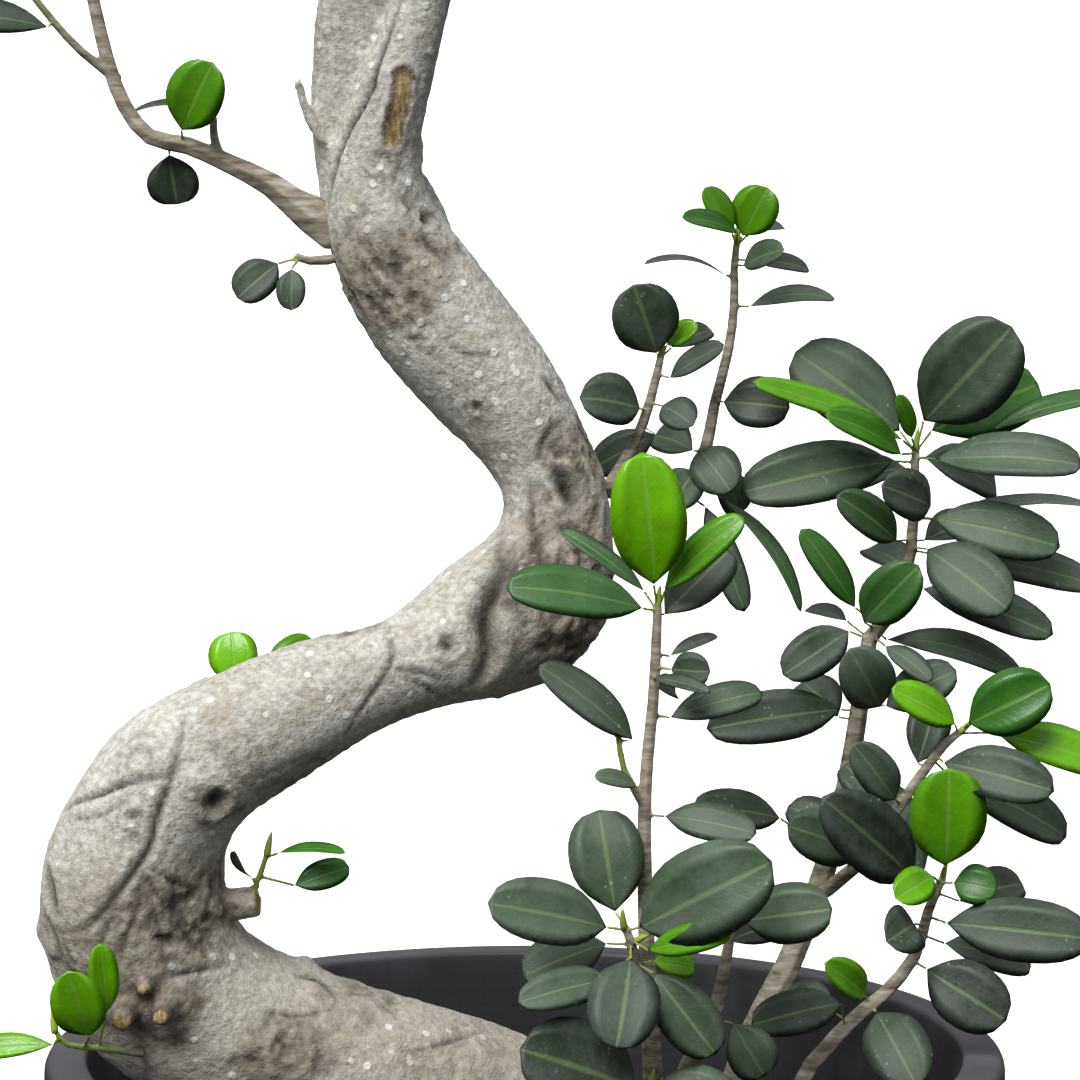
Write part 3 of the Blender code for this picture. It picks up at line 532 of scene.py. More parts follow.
def set_points(mesh, points):
    mesh.vertices.foreach_set("co", points.astype(np.float32).ravel())
    mesh.update()


def eased(points, edges, weight, rounds):
    """Each point drawn towards the middle of its neighbours, as far as its weight says."""
    count = len(points)
    a, b = edges[:, 0], edges[:, 1]
    shared = np.bincount(a, minlength=count) + np.bincount(b, minlength=count)
    for _ in range(rounds):
        total = np.stack([
            np.bincount(a, points[b, k], count) + np.bincount(b, points[a, k], count)
            for k in range(points.shape[1])
        ], 1)
        points = points + 0.5 * weight[:, None] * (total / shared[:, None] - points)
    return points


def smoothstep(value, low, high):
    t = np.clip((value - low) / (high - low), 0.0, 1.0)
    return t * t * (3 - 2 * t)


def paint(mesh, name, values):
    mesh.attributes.new(name, "FLOAT", "POINT").data.foreach_set("value", values.astype(np.float32))


trunk_mesh = even_net(merged_copy("trunk"), "trunk_bark", TRUNK_NET, 3)
points = points_of(trunk_mesh)
normals = normals_of(trunk_mesh)
edges = np.empty(len(trunk_mesh.edges) * 2, np.int32)
trunk_mesh.edges.foreach_get("vertices", edges)
edges = edges.reshape(-1, 2)
skin_tree = BVHTree.FromPolygons(points.tolist(), [p.vertices[:] for p in trunk_mesh.polygons])
through = np.array([
    (skin_tree.ray_cast(Vector(p - n * 0.4 * MM), Vector(-n), 0.1)[3] or 0.1) for p, n in zip(points, normals)
])
thick = smoothstep(through, 15 * MM, 27 * MM)
for _ in range(SLIM_ROUNDS):
    slimmer = thick.copy()
    np.minimum.at(slimmer, edges[:, 0], thick[edges[:, 1]])
    np.minimum.at(slimmer, edges[:, 1], thick[edges[:, 0]])
    thick = slimmer
thick = eased(thick[:, None], edges, np.ones(len(points)), 12)[:, 0]
points = eased(points, edges, thick, EASE_ROUNDS)
set_points(trunk_mesh, points)
normals = normals_of(trunk_mesh)
skin_tree = BVHTree.FromPolygons(points.tolist(), [p.vertices[:] for p in trunk_mesh.polygons])
bark_tree = kdtree.KDTree(len(points))
for index, place in enumerate(points):
    bark_tree.insert(place, index)
bark_tree.balance()

line = np.array(TRUNK_LINE, float) * MM
best = np.full(len(points), 1e9)
run = np.zeros(len(points))
angle = np.zeros(len(points))
walked = 0.0
for start, end in zip(line, line[1:]):
    span = end - start
    length = np.linalg.norm(span)
    share = np.clip((points - start) @ span / length ** 2, 0, 1)
    offset = points - (start + share[:, None] * span)
    distance = np.linalg.norm(offset, axis=1)
    level = np.cross(span / length, (0.0, 1.0, 0.0))
    closer = distance < best
    best = np.where(closer, distance, best)
    run = np.where(closer, walked + share * length, run)
    angle = np.where(closer, np.arctan2(offset @ level, offset[:, 1]), angle)
    walked += length
grain_coords = np.stack([GRAIN_RADIUS * np.cos(angle), GRAIN_RADIUS * np.sin(angle), run], 1)

# Marks on each point of the bark: cut and swell move it in and out, a painted shade mask darkens the floors
# of grooves and hollows, rough and bare mark torn bark and bare wood.
cut = np.zeros(len(points))
swell = np.zeros(len(points))
fold = np.zeros(len(points))
rough = np.zeros(len(points))
bare = np.zeros(len(points))


def on_bark(x, height, plane):
    """The spot on the bark that a mark at x and height falls on, seen from the front."""
    way = Vector((x * MM, plane * MM, height * MM)) - EYE
    found = skin_tree.ray_cast(EYE, way.normalized())[0]
    return found or skin_tree.find_nearest(EYE + way)[0]


def run_along(spots, step):
    """Closely spaced spots on the bark along a soft line through the given ones."""
    ends = [spots[0], *spots, spots[-1]]
    made = []
    for p0, p1, p2, p3 in zip(ends, ends[1:], ends[2:], ends[3:]):
        steps = max(2, round((p2 - p1).length / step))
        for i in range(steps):
            t = i / steps
            soft = 0.5 * (2 * p1 + (p2 - p0) * t + (2 * p0 - 5 * p1 + 4 * p2 - p3) * t ** 2
                          + (3 * p1 - p0 - 3 * p2 + p3) * t ** 3)
            made.append(skin_tree.find_nearest(soft)[0])
    return made


def press_crease(spots, width, depth):
    """A crease with a swollen lip, deepest in its middle, and painted shade darkening its groove."""
    places = run_along(spots, 0.8 * MM)
    for number, place in enumerate(places):
        share = (number + 0.5) / len(places)
        taper = min(1.0, 0.25 + 3.2 * share * (1 - share))
        wide = width * MM * (0.6 + 0.4 * taper)
        for _, index, distance in bark_tree.find_range(place, 4.2 * wide):
            q = distance / wide
            groove = math.exp(-q * q) * taper
            lip = math.exp(-((q - 2.2) / 1.1) ** 2) * taper
            cut[index] = max(cut[index], depth * MM * groove)
            swell[index] = max(swell[index], 0.28 * depth * MM * lip)
            fold[index] = max(fold[index], min(1.0, 0.6 + 0.3 * depth) * groove)


def press_knot(place, radius, hollow, ring):
    """A round scar: a hollow or a button in a raised ring, with painted shade in the hollow and in dark lines
    on both sides of the ring.
    """
    for _, index, distance in bark_tree.find_range(place, 2.2 * radius * MM):
        q = distance / (radius * MM)
        wobble = 1 + 0.16 * noise.noise(Vector(points[index]) / (3 * MM))
        q *= wobble
        cut[index] = max(cut[index], hollow * MM * math.exp(-(q / 0.6) ** 2))
        swell[index] = max(swell[index], ring * MM * math.exp(-((q - 1) / 0.34) ** 2))
        inside = min(1.0, max(0.0, hollow) * 0.5) * math.exp(-(q / 0.55) ** 2)
        line_round = 0.42 * math.exp(-((q - 0.72) / 0.14) ** 2) + 0.3 * math.exp(-((q - 1.45) / 0.16) ** 2)
        fold[index] = max(fold[index], inside, line_round)


for plane, width, depth, route in CREASES:
    press_crease([on_bark(x, z, plane) for x, z in route], width, depth)
for plane, x, z, radius, hollow, ring in KNOTS:
    press_knot(on_bark(x, z, plane), radius, hollow, ring)
for plane, x, z, half_width, half_height, strength in ROUGH:
    centre = on_bark(x, z, plane)
    for place, index, _ in bark_tree.find_range(centre, 1.2 * max(half_width, half_height) * MM):
        away = place - centre
        q = math.hypot(away.x / half_width, away.z / half_height, 0.5 * away.y / half_width) / MM
        edge = 0.35 * noise.noise(place / (9 * MM))
        rough[index] = max(rough[index], strength * float(smoothstep(1.15 + edge - q, 0.0, 0.6)))
for plane, x, z, radius, tall in LUMPS:
    for _, index, distance in bark_tree.find_range(on_bark(x, z, plane), 2 * radius * MM):
        swell[index] = max(swell[index], tall * MM * math.exp(-(distance / (radius * MM)) ** 2 * 2))
# The open wound: a cut with a raised rim and bare wood, and a dark line of painted shade along its edge.
for place in run_along([on_bark(x, z, HIGH_PLANE) for x, z in WOUND], 0.8 * MM):
    for _, index, distance in bark_tree.find_range(place, 3 * WOUND_WIDTH * MM):
        q = distance / (WOUND_WIDTH * MM) * (1 + 0.25 * noise.noise(Vector(points[index]) / (2.5 * MM)))
        cut[index] = max(cut[index], 1.9 * MM * (1 - float(smoothstep(q, 0.75, 1.15))))
        swell[index] = max(swell[index], 1.0 * MM * math.exp(-((q - 1.5) / 0.35) ** 2))
        bare[index] = max(bare[index], 1 - float(smoothstep(q, 0.8, 1.05)))
        fold[index] = max(fold[index], 0.9 * math.exp(-((q - 1.05) / 0.16) ** 2))
for end, radius in SAWN_ENDS:
    end = Vector(end) * MM
    for _, index, distance in bark_tree.find_range(end, 1.25 * radius * MM):
        bare[index] = max(bare[index], 1 - float(smoothstep(distance / (radius * MM), 0.85, 1.1)))

# The back and the sides carry marks of the same kinds, strewn at random.
rng = random.Random(23)
back = [i for i in range(len(points)) if normals[i, 1] > 0.15 and points[i, 2] > SOIL_TOP and thick[i] > 0.5]
for _ in range(BACK_KNOTS):
    spot = Vector(points[rng.choice(back)])
    press_knot(spot, rng.uniform(2.2, 6.0), rng.uniform(-0.2, 2.4), rng.uniform(0.4, 1.2))
for _ in range(BACK_CREASES):
    start = rng.choice(back)
    step = Vector((rng.uniform(-1, 1), 0.0, rng.uniform(-1, 1))).normalized() * 9 * MM
    spots = [Vector(points[start])]
    for _ in range(rng.randint(2, 4)):
        drift = Vector((rng.uniform(-1, 1), rng.uniform(-1, 1), rng.uniform(-1, 1))) * 2.5 * MM
        spots.append(skin_tree.find_nearest(spots[-1] + step + drift)[0])
    press_crease(spots, rng.uniform(0.9, 1.6), rng.uniform(0.6, 1.8))
for _ in range(BACK_TORN):
    centre = Vector(points[rng.choice(back)])
    reach = rng.uniform(12, 24) * MM
    for place, index, distance in bark_tree.find_range(centre, reach):
        edge = 0.3 * noise.noise(place / (8 * MM))
        rough[index] = max(rough[index], 0.8 * float(smoothstep(1.0 + edge - distance / reach, 0.0, 0.6)))

# Growth makes broad swellings, short wrinkles across the stem, flutes along it, and a fine grain.
texture = np.zeros(len(points))
for index, (place, grain_place) in enumerate(zip(points, grain_coords)):
    p = Vector(place)
    g = Vector(grain_place)
    broad = noise.noise(p / (34 * MM))
    wrinkle = noise.noise(Vector((g.x / 11, g.y / 11, g.z / 2.6)) / MM)
    flute = noise.noise(Vector((g.x / 6, g.y / 6, g.z / 38)) / MM + Vector((9, 4, 2)))
    pit = noise.noise(p / (4.2 * MM))
    torn = noise.fractal(Vector((g.x / 5.5, g.y / 5.5, g.z / 8)) / MM, 0.7, 2.2, 4)
    r = rough[index]
    texture[index] = (1.1 * broad + 0.34 * wrinkle + 0.36 * flute + 0.24 * pit + r * (1.5 * torn - 0.25)) * MM
    # Painted shade: where rough bark is torn deepest, its fissures are darkened.
    if torn < -0.12:
        fold[index] = max(fold[index], r * min(0.75, -1.6 * torn))
held = 0.25 + 0.75 * thick
points = points + normals * (held * (swell - cut + texture))[:, None]
set_points(trunk_mesh, points)
trunk_mesh.shade_smooth()
# The painted shade mask for grooves and hollows goes on the mesh with the rough and bare masks.
paint(trunk_mesh, "fold", fold)
paint(trunk_mesh, "rough", rough)
paint(trunk_mesh, "bare", bare)

# Ficus bark: thin pale-grey cork over tan, dotted with whitish breathing pores, brown where it is torn.
bark, tree = new_material("ficus_bark")
coords = add(tree, "ShaderNodeTexCoord").outputs["Object"]
upright = add(tree, "ShaderNodeSeparateXYZ", {}, {0: coords})
blotch = add(tree, "ShaderNodeTexNoise", {}, {
    "Vector": coords, "Scale": 1 / (38.5 * MM), "Detail": 5.0, "Roughness": 0.62,
})
cork = add(tree, "ShaderNodeValToRGB", {"stops": [
    (0.28, "#a19a8c"), (0.42, "#bbb7ac"), (0.58, "#cdcac2"), (0.75, "#d9d7d1"),
]}, {0: blotch.outputs[0]})
mottle = add(tree, "ShaderNodeTexNoise", {}, {
    "Vector": coords, "Scale": 1 / (2.38 * MM), "Detail": 4.0, "Roughness": 0.7,
})
mottled = add(tree, "ShaderNodeValToRGB", {
    "stops": [(0.32, "#6f695d"), (0.5, "#b9b5ab"), (0.68, "#e6e4de")],
}, {0: mottle.outputs[0]})
grey = add(tree, "ShaderNodeMix", {"data_type": "RGBA"}, {0: 0.55, 6: cork, 7: mottled})
low_down = add(tree, "ShaderNodeMapRange", {}, {
    "Value": upright.outputs["Z"], "From Min": 0.40, "From Max": 0.27, "To Min": 0.0, "To Max": 0.55,
})
stain = add(tree, "ShaderNodeTexNoise", {}, {
    "Vector": coords, "Scale": 1 / (16.7 * MM), "Detail": 6.0, "Roughness": 0.7,
})
stained = add(tree, "ShaderNodeMapRange", {}, {
    "Value": stain.outputs[0], "From Min": 0.5, "From Max": 0.72, "To Min": 0.0, "To Max": 0.55,
})
staining = add(tree, "ShaderNodeMath", {"operation": "MAXIMUM"}, {0: low_down, 1: stained})
tan = add(tree, "ShaderNodeMix", {"data_type": "RGBA"}, {0: staining, 6: grey, 7: "#978a72"})
# Breathing pores: pale dots 2 to 3 mm wide and some 6 mm apart, thicker on the upper trunk.
cells = add(tree, "ShaderNodeTexVoronoi", {}, {"Vector": coords, "Scale": 1 / (6.5 * MM), "Randomness": 1.0})
dots = add(tree, "ShaderNodeMapRange", {}, {
    "Value": cells.outputs["Distance"], "From Min": 0.27, "From Max": 0.17, "To Min": 0.0, "To Max": 1.0,
})
lottery = add(tree, "ShaderNodeSeparateXYZ", {}, {0: cells.outputs["Color"]})
share = add(tree, "ShaderNodeMapRange", {}, {
    "Value": upright.outputs["Z"], "From Min": 0.44, "From Max": 0.56, "To Min": 0.72, "To Max": 0.25,
})
chosen = add(tree, "ShaderNodeMath", {"operation": "GREATER_THAN"}, {0: lottery.outputs["X"], 1: share})
pores = add(tree, "ShaderNodeMath", {"operation": "MULTIPLY"}, {0: dots, 1: chosen})
pore_tint = add(tree, "ShaderNodeMath", {"operation": "MULTIPLY"}, {0: pores, 1: 0.85})
dotted = add(tree, "ShaderNodeMix", {"data_type": "RGBA"}, {0: pore_tint, 6: tan, 7: "#e6e4dc"})
painted_shade_mask = add(tree, "ShaderNodeAttribute", {"attribute_name": "fold"}).outputs["Fac"]
rough_mask = add(tree, "ShaderNodeAttribute", {"attribute_name": "rough"}).outputs["Fac"]
bare_mask = add(tree, "ShaderNodeAttribute", {"attribute_name": "bare"}).outputs["Fac"]
flakes = add(tree, "ShaderNodeTexNoise", {}, {
    "Vector": coords, "Scale": 1 / (5.26 * MM), "Detail": 6.0, "Roughness": 0.72,
})
torn_color = add(tree, "ShaderNodeValToRGB", {"stops": [
    (0.36, "#3d342a"), (0.5, "#7a6c5a"), (0.66, "#ac9f8a"),
]}, {0: flakes.outputs[0]})
rough_share = add(tree, "ShaderNodeMath", {"operation": "MULTIPLY"}, {0: rough_mask, 1: 0.66})
torn = add(tree, "ShaderNodeMix", {"data_type": "RGBA"}, {0: rough_share, 6: dotted, 7: torn_color})
# Painted shade: creases, knot hollows, the lines round knots and the wound, and deep fissures turn near-black
# brown.
with_painted_shade = add(tree, "ShaderNodeMix", {"data_type": "RGBA"}, {0: painted_shade_mask, 6: torn, 7: "#2b231b"})
grain_map = add(tree, "ShaderNodeMapping", {}, {"Vector": coords, "Scale": per_metre(1.11, 1.11, 11.1)})
fibres = add(tree, "ShaderNodeTexNoise", {}, {"Vector": grain_map, "Scale": 1.0, "Detail": 3.0})
timber = add(tree, "ShaderNodeValToRGB", {"stops": [(0.3, "#7d6842"), (0.7, "#c0a97b")]}, {
    0: fibres.outputs[0],
})
outer = add(tree, "ShaderNodeMix", {"data_type": "RGBA"}, {0: bare_mask, 6: with_painted_shade, 7: timber})
dull = add(tree, "ShaderNodeMapRange", {}, {
    "Value": mottle.outputs[0], "From Min": 0.3, "From Max": 0.7, "To Min": 0.92, "To Max": 0.72,
})
lift = add(tree, "ShaderNodeMath", {"operation": "MULTIPLY_ADD"}, {0: pores, 1: 0.35, 2: mottle.outputs[0]})
coarse = add(tree, "ShaderNodeMath", {"operation": "MULTIPLY_ADD"}, {
    0: flakes.outputs[0], 1: 1.2, 2: lift,
})
tooth = add(tree, "ShaderNodeBump", {}, {"Strength": 0.8, "Distance": 1.1 * MM, "Height": coarse})
wood = add(tree, "ShaderNodeBsdfPrincipled", {}, {
    "Base Color": outer, "Roughness": dull, "Normal": tooth, "IOR": 1.45,
})
add(tree, "ShaderNodeOutputMaterial", {}, {"Surface": wood})
place_piece("trunk_and_limbs", trunk_mesh, bark, ["trunk"])

# ---------------------------------------------------------------- shoots
# Leafy shoots sprout from the trunk and its limbs. Each has a woody stem that turns green near its
# end, round fleshy leaves on short stalks, and a pointed bud. One set of pieces for each shoot.

STEM_NET = 0.55 * MM
STEM_ROUNDS = 5
BLADE_GAP = 1.0 * MM
BLADE_GAP_PLAY = 0.04 * MM
# A blank is widest at this share of its length, where half its width is this share of the whole.
INNER_PLACE = 0.34
INNER_SHARE = 0.48
SOFT_THICKNESS = (1.8 * MM, 3.0 * MM)
# Blades are fuller than the flat-sided blanks that stand for them.
WIDER, LONGER = 1.17, 1.09
ROOT_NEAR = 0.9 * MM
# How far a shoot's root is sunk into what it grows on, under that one's own bark.
ROOT_DEPTH = {"trunk": 6 * MM, "front_shoot": 1.5 * MM, "right_stem": 1.5 * MM}
# Leaves that pass through another leaf's blank: base, tip, width and the lift of the upper side, in
# mm and degrees. Their blades are cut off and set again from these.
CROSSED = {
    "low_shoot": [((39, -91, 351), (79, -104, 374), 27, 74), ((42, -95, 344), (67, -106, 352), 9, 66)],
    "knee_branch": [((62, 9, 500), (53, -2, 488), 13, 80), ((51, 2, 497), (46, -12, 484), 10, 70)],
    "right_stem": [((151, 26, 514), (190, 40, 530), 22, 78), ((173, 26, 514), (216, 30, 526), 9, 40)],
    "arm_shoot": [((122, -14, 363), (96, -26, 374), 17, 74)],
}
CROSSED_BOW = 0.08
# Tips of the leaves that are still young and bright, in mm, with how young they are.
YOUNG = [
    ((40, -88, 507), 1.0), ((72, -82, 487), 0.75), ((-2, -94, 466), 0.4), ((15, -64, 481), 0.35),
    ((88, 16, 602), 0.85), ((67, 14, 602), 0.8), ((59, 4, 592), 0.5), ((62, 8, 553), 0.95),
    ((100, 16, 451), 0.35), ((87, 0, 531), 0.85), ((111, -6, 520), 0.6), ((136, 4, 527), 0.7),
    ((190, 40, 530), 0.5), ((216, 30, 526), 0.45), ((142, 2, 464), 0.45), ((103, 10, 476), 0.5),
    ((116, 2, 490), 0.3), ((134, -18, 422), 1.0), ((187, -14, 423), 0.55), ((210, -4, 393), 0.95),
    ((152, -22, 392), 0.85), ((134, -26, 349), 0.9), ((169, -16, 350), 0.5), ((108, -36, 326), 0.8),
    ((67, -106, 352), 0.8), ((57, -78, 334), 0.95), ((-110, -30, 643), 0.75), ((-140, -112, 348), 1.0),
    ((-149, -118, 340), 0.95), ((-188, -100, 310), 0.95), ((-103, -38, 444), 1.0), ((-76, -32, 441), 0.7),
    ((-98, -80, 374), 0.3), ((-63, -74, 373.5), 0.6), ((-62, -64, 366), 0.5),
]
# Buds of each shoot: their places and directions.
BUDS = {
    "left_branch": [((-166, -4, 727), (-0.2, 0.1, 1)), ((-184, -22, 685), (-0.6, -0.1, 0.9))],
    "front_shoot": [((45.5, -75, 457), (0, -0.2, 1)), ((32, -80, 414), (-0.1, 0, 1))],
    "low_shoot": [((34, -89.5, 350), (-0.2, -0.4, 1)), ((37, -87, 345), (0.6, -0.6, 0.5))],
    "lowest_shoot": [((43, -92.5, 296), (0, -0.5, 1))],
    "side_shoot": [((71, -77, 348), (0.2, -0.2, 1))],
    "knee_branch": [((78, 20, 583), (0, 0, 1)), ((50, 12, 542), (0, -0.2, 1))],
    "right_stem": [((144.5, 20, 507), (0, -0.1, 1))],
    "arm_shoot": [((158, -5, 405), (0.5, -0.2, 0.6))],
    "edge_shoot": [((152, -8, 351), (0.1, -0.2, 1))],
    "base_sprout": [((-156, -105, 318), (-0.2, 0, 1))],
    "snag_sprout": [((-88, -73, 372), (0.1, 0, 1))],
}
BUD_LENGTH = 9 * MM
BUD_CURL = 0.9 * MM
YOUNG_SHARE = 0.2
YOUNG_TOP = 0.75
RIPPLE = 5 * MM
RIPPLE_SCALE = 34.0


def take_blades(solid):
    """Reads each leaf blank on a shoot, and cuts its blade off behind the stalk."""
    blades, spent, rims = [], set(), []
    for tip in solid.verts:
        first = {edge.other_vert(tip) for edge in tip.link_edges}
        if len(first) != 4:
            continue
        second = {e.other_vert(v) for v in first for e in v.link_edges} - first - {tip}
        third = {e.other_vert(v) for v in second for e in v.link_edges} - first - second
        if len(second) != 4 or len(third) != 4:
            continue
        outer, inner = cross_of(first), cross_of(second)
        if outer is None or inner is None:
            continue
        base = sum((v.co for v in third), Vector()) / 4
        (left, right), middle = inner
        width = (right - left).length / (2 * INNER_SHARE)
        normal = ((left + right) / 2 - middle).normalized()
        along = tip.co - base
        bow = (middle - base.lerp(tip.co, INNER_PLACE)).dot(normal) / (4 * INNER_PLACE * (1 - INNER_PLACE))
        blades.append({"base": base, "along": along, "normal": normal, "width": width, "bow": bow})
        spent |= first | second | {tip}
        rims.append(third)
    bmesh.ops.delete(solid, geom=list(spent), context="VERTS")
    bmesh.ops.holes_fill(solid, edges=[e for e in solid.edges if e.is_boundary], sides=8)
    return blades


def take_crossed(solid, rows):
    """Cuts off the blades that the rows describe, and gives them as blades."""
    blades = []
    for base, tip, width, lift in rows:
        base, tip = Vector(base) * MM, Vector(tip) * MM
        along = tip - base
        look = Vector((0.0, -math.sin(math.radians(lift)), math.cos(math.radians(lift))))
        axis = along.normalized()
        normal = (look - axis * look.dot(axis)).normalized()
        side = axis.cross(normal)
        spent = []
        for vertex in solid.verts:
            away = vertex.co - base
            height = away.dot(normal)
            if (MM < away.dot(axis) < along.length + MM and abs(away.dot(side)) < (0.5 * width + 1) * MM
                    and -1.5 * MM < height < (0.3 * width + 2) * MM):
                spent.append(vertex)
        bmesh.ops.delete(solid, geom=spent, context="VERTS")
        blades.append({"base": base, "along": along, "normal": normal, "width": width * MM,
                       "bow": CROSSED_BOW * along.length})
    bmesh.ops.holes_fill(solid, edges=[e for e in solid.edges if e.is_boundary], sides=0)
    return blades


def sink_roots(solid, node):
    """Pushes a shoot's root into what it grows on."""
    for vertex in solid.verts:
        for host, depth in ROOT_DEPTH.items():
            place, normal, _, distance = host_skins[host].find_nearest(vertex.co)
            if host != node and distance < ROOT_NEAR:
                vertex.co -= normal * depth


def cross_of(ring):
    """A blank's ring of four: the two ends of its width, and its middle. None if it isn't one."""
    verts = [v.co for v in ring]
    pairs = [(a, b) for i, a in enumerate(verts) for b in verts[i + 1:]]
    thin = min(pairs, key=lambda pair: abs((pair[0] - pair[1]).length - BLADE_GAP))
    if abs((thin[0] - thin[1]).length - BLADE_GAP) > BLADE_GAP_PLAY:
        return None
    wide = [v for v in verts if v is not thin[0] and v is not thin[1]]
    return wide, (thin[0] + thin[1]) / 2


def half_outline(t):
    """Half a ficus blade's width along its length, as a share of its width: a wedge, then round."""
    swell_share = 1 - abs(2 * t ** 1.16 - 1) ** 2.2
    return 0.5 * max(0.0, swell_share) ** (0.46 + 0.42 * (1 - t) ** 3)


def leaf_kind(name, fold_up, tip_drop, rows=12):
    """One blade, 1 long and 1 wide, as a thin closed lens with its ribs' place in its UV map."""
    columns = (-1.0, -0.55, 0.0, 0.55, 1.0)
    blade = bmesh.new()
    uv = blade.loops.layers.uv.new("UVMap")
    under = blade.verts.layers.float.new("under")
    along = blade.verts.layers.float.new("along")
    flat = {}

    def corner(row, column, side):
        t = 0.5 - 0.5 * math.cos(math.pi * (row + 0.06) / (rows + 0.12))
        t = row / rows * 0.35 + t * 0.65
        x = columns[column] * half_outline(t)
        margin = column in (0, 4) or row in (0, rows)
        key = (row, column, 0 if margin else side)
        if key not in flat:
            rise = fold_up * (abs(columns[column]) ** 1.4) * half_outline(t) * 2
            groove = -0.012 if column == 2 and 0 < row < rows else 0.0
            thickness = 0.0 if margin else (0.014 if side else -0.016)
            made = blade.verts.new((x, t, rise + groove + thickness - tip_drop * t ** 4))
            made[under] = 0.0 if side else 1.0
            made[along] = t
            flat[key] = made
        return flat[key], (0.5 + 0.5 * columns[column] * 0.98, t)

    for side in (1, 0):
        for row in range(rows):
            for column in range(4):
                spots = [corner(row, column, side), corner(row, column + 1, side),
                         corner(row + 1, column + 1, side), corner(row + 1, column, side)]
                kept = []
                for vert, place in spots:
                    if vert not in [v for v, _ in kept]:
                        kept.append((vert, place))
                if len(kept) < 3 or blade.faces.get([v for v, _ in kept]):
                    continue
                face = blade.faces.new([v for v, _ in (kept if side else reversed(kept))])
                for loop in face.loops:
                    loop[uv].uv = dict((v, place) for v, place in kept)[loop.vert]
    bmesh.ops.remove_doubles(blade, verts=blade.verts, dist=0.0005)
    bmesh.ops.recalc_face_normals(blade, faces=blade.faces)
    mesh = bpy.data.meshes.new(name)
    blade.to_mesh(mesh)
    blade.free()
    return mesh


leaf_box = bpy.data.collections.new("leaf_kinds")
for number, (fold_up, tip_drop) in enumerate(((0.12, 0.02), (0.17, 0.05), (0.08, 0.0), (0.14, -0.03))):
    label = f"leaf_{number}"
    leaf_box.objects.link(bpy.data.objects.new(label, leaf_kind(label, fold_up, tip_drop)))

leafing, given = new_tree("leaves_on_a_shoot", [
    ("Kinds", "NodeSocketCollection"), ("Ripple", "NodeSocketFloat"), ("Ripple scale", "NodeSocketFloat"),
    ("Seed", "NodeSocketInt"), ("Finish", "NodeSocketMaterial"),
])
kinds = add(leafing, "GeometryNodeCollectionInfo", {}, {
    "Collection": given.outputs["Kinds"], "Separate Children": True, "Reset Children": True,
})
read = {
    name: add(leafing, "GeometryNodeInputNamedAttribute", {"data_type": kind}, {"Name": name})
    for name, kind in (("leaf_axis", "FLOAT_VECTOR"), ("leaf_face", "FLOAT_VECTOR"),
                       ("leaf_size", "FLOAT_VECTOR"), ("leaf_bow", "FLOAT"), ("along", "FLOAT"))
}
turn = add(leafing, "FunctionNodeAxesToRotation", {"primary_axis": "Y", "secondary_axis": "Z"}, {
    "Primary Axis": read["leaf_axis"], "Secondary Axis": read["leaf_face"],
})
on_stalks = add(leafing, "GeometryNodeMeshToPoints", {}, {0: given.outputs["Geometry"]})
set_out = add(leafing, "GeometryNodeInstanceOnPoints", {}, {
    "Points": on_stalks, "Instance": kinds, "Pick Instance": True, "Rotation": turn,
    "Scale": read["leaf_size"],
})
real = add(leafing, "GeometryNodeRealizeInstances", {}, {0: set_out})
flip = add(leafing, "ShaderNodeMath", {"operation": "SUBTRACT"}, {0: 1.0, 1: read["along"]})
hump = add(leafing, "ShaderNodeMath", {"operation": "MULTIPLY"}, {0: flip, 1: read["along"]})
bow = add(leafing, "ShaderNodeMath", {"operation": "MULTIPLY"}, {0: hump, 1: read["leaf_bow"]})
bow_by_four = add(leafing, "ShaderNodeMath", {"operation": "MULTIPLY"}, {0: bow, 1: 4.0})
seed_shift = add(leafing, "ShaderNodeMath", {"operation": "MULTIPLY"}, {0: given.outputs["Seed"], 1: 7.31})
ripple = add(leafing, "ShaderNodeTexNoise", {"noise_dimensions": "4D"}, {
    "Scale": given.outputs["Ripple scale"], "W": seed_shift, "Detail": 1.0,
})
centred = add(leafing, "ShaderNodeMath", {"operation": "SUBTRACT"}, {0: ripple.outputs[0], 1: 0.5})
rippled = add(leafing, "ShaderNodeMath", {"operation": "MULTIPLY"}, {0: centred, 1: given.outputs["Ripple"]})
ripple_share = add(leafing, "ShaderNodeMath", {"operation": "MULTIPLY"}, {0: rippled, 1: read["along"]})
rise = add(leafing, "ShaderNodeMath", {"operation": "ADD"}, {0: bow_by_four, 1: ripple_share})
shift = add(leafing, "ShaderNodeVectorMath", {"operation": "SCALE"}, {0: read["leaf_face"], "Scale": rise})
bowed = add(leafing, "GeometryNodeSetPosition", {}, {0: real, "Offset": shift})
smooth = add(leafing, "GeometryNodeSetShadeSmooth", {}, {0: bowed})
finished = add(leafing, "GeometryNodeSetMaterial", {}, {0: smooth, "Material": given.outputs["Finish"]})
add(leafing, "NodeGroupOutput", {}, {0: finished})

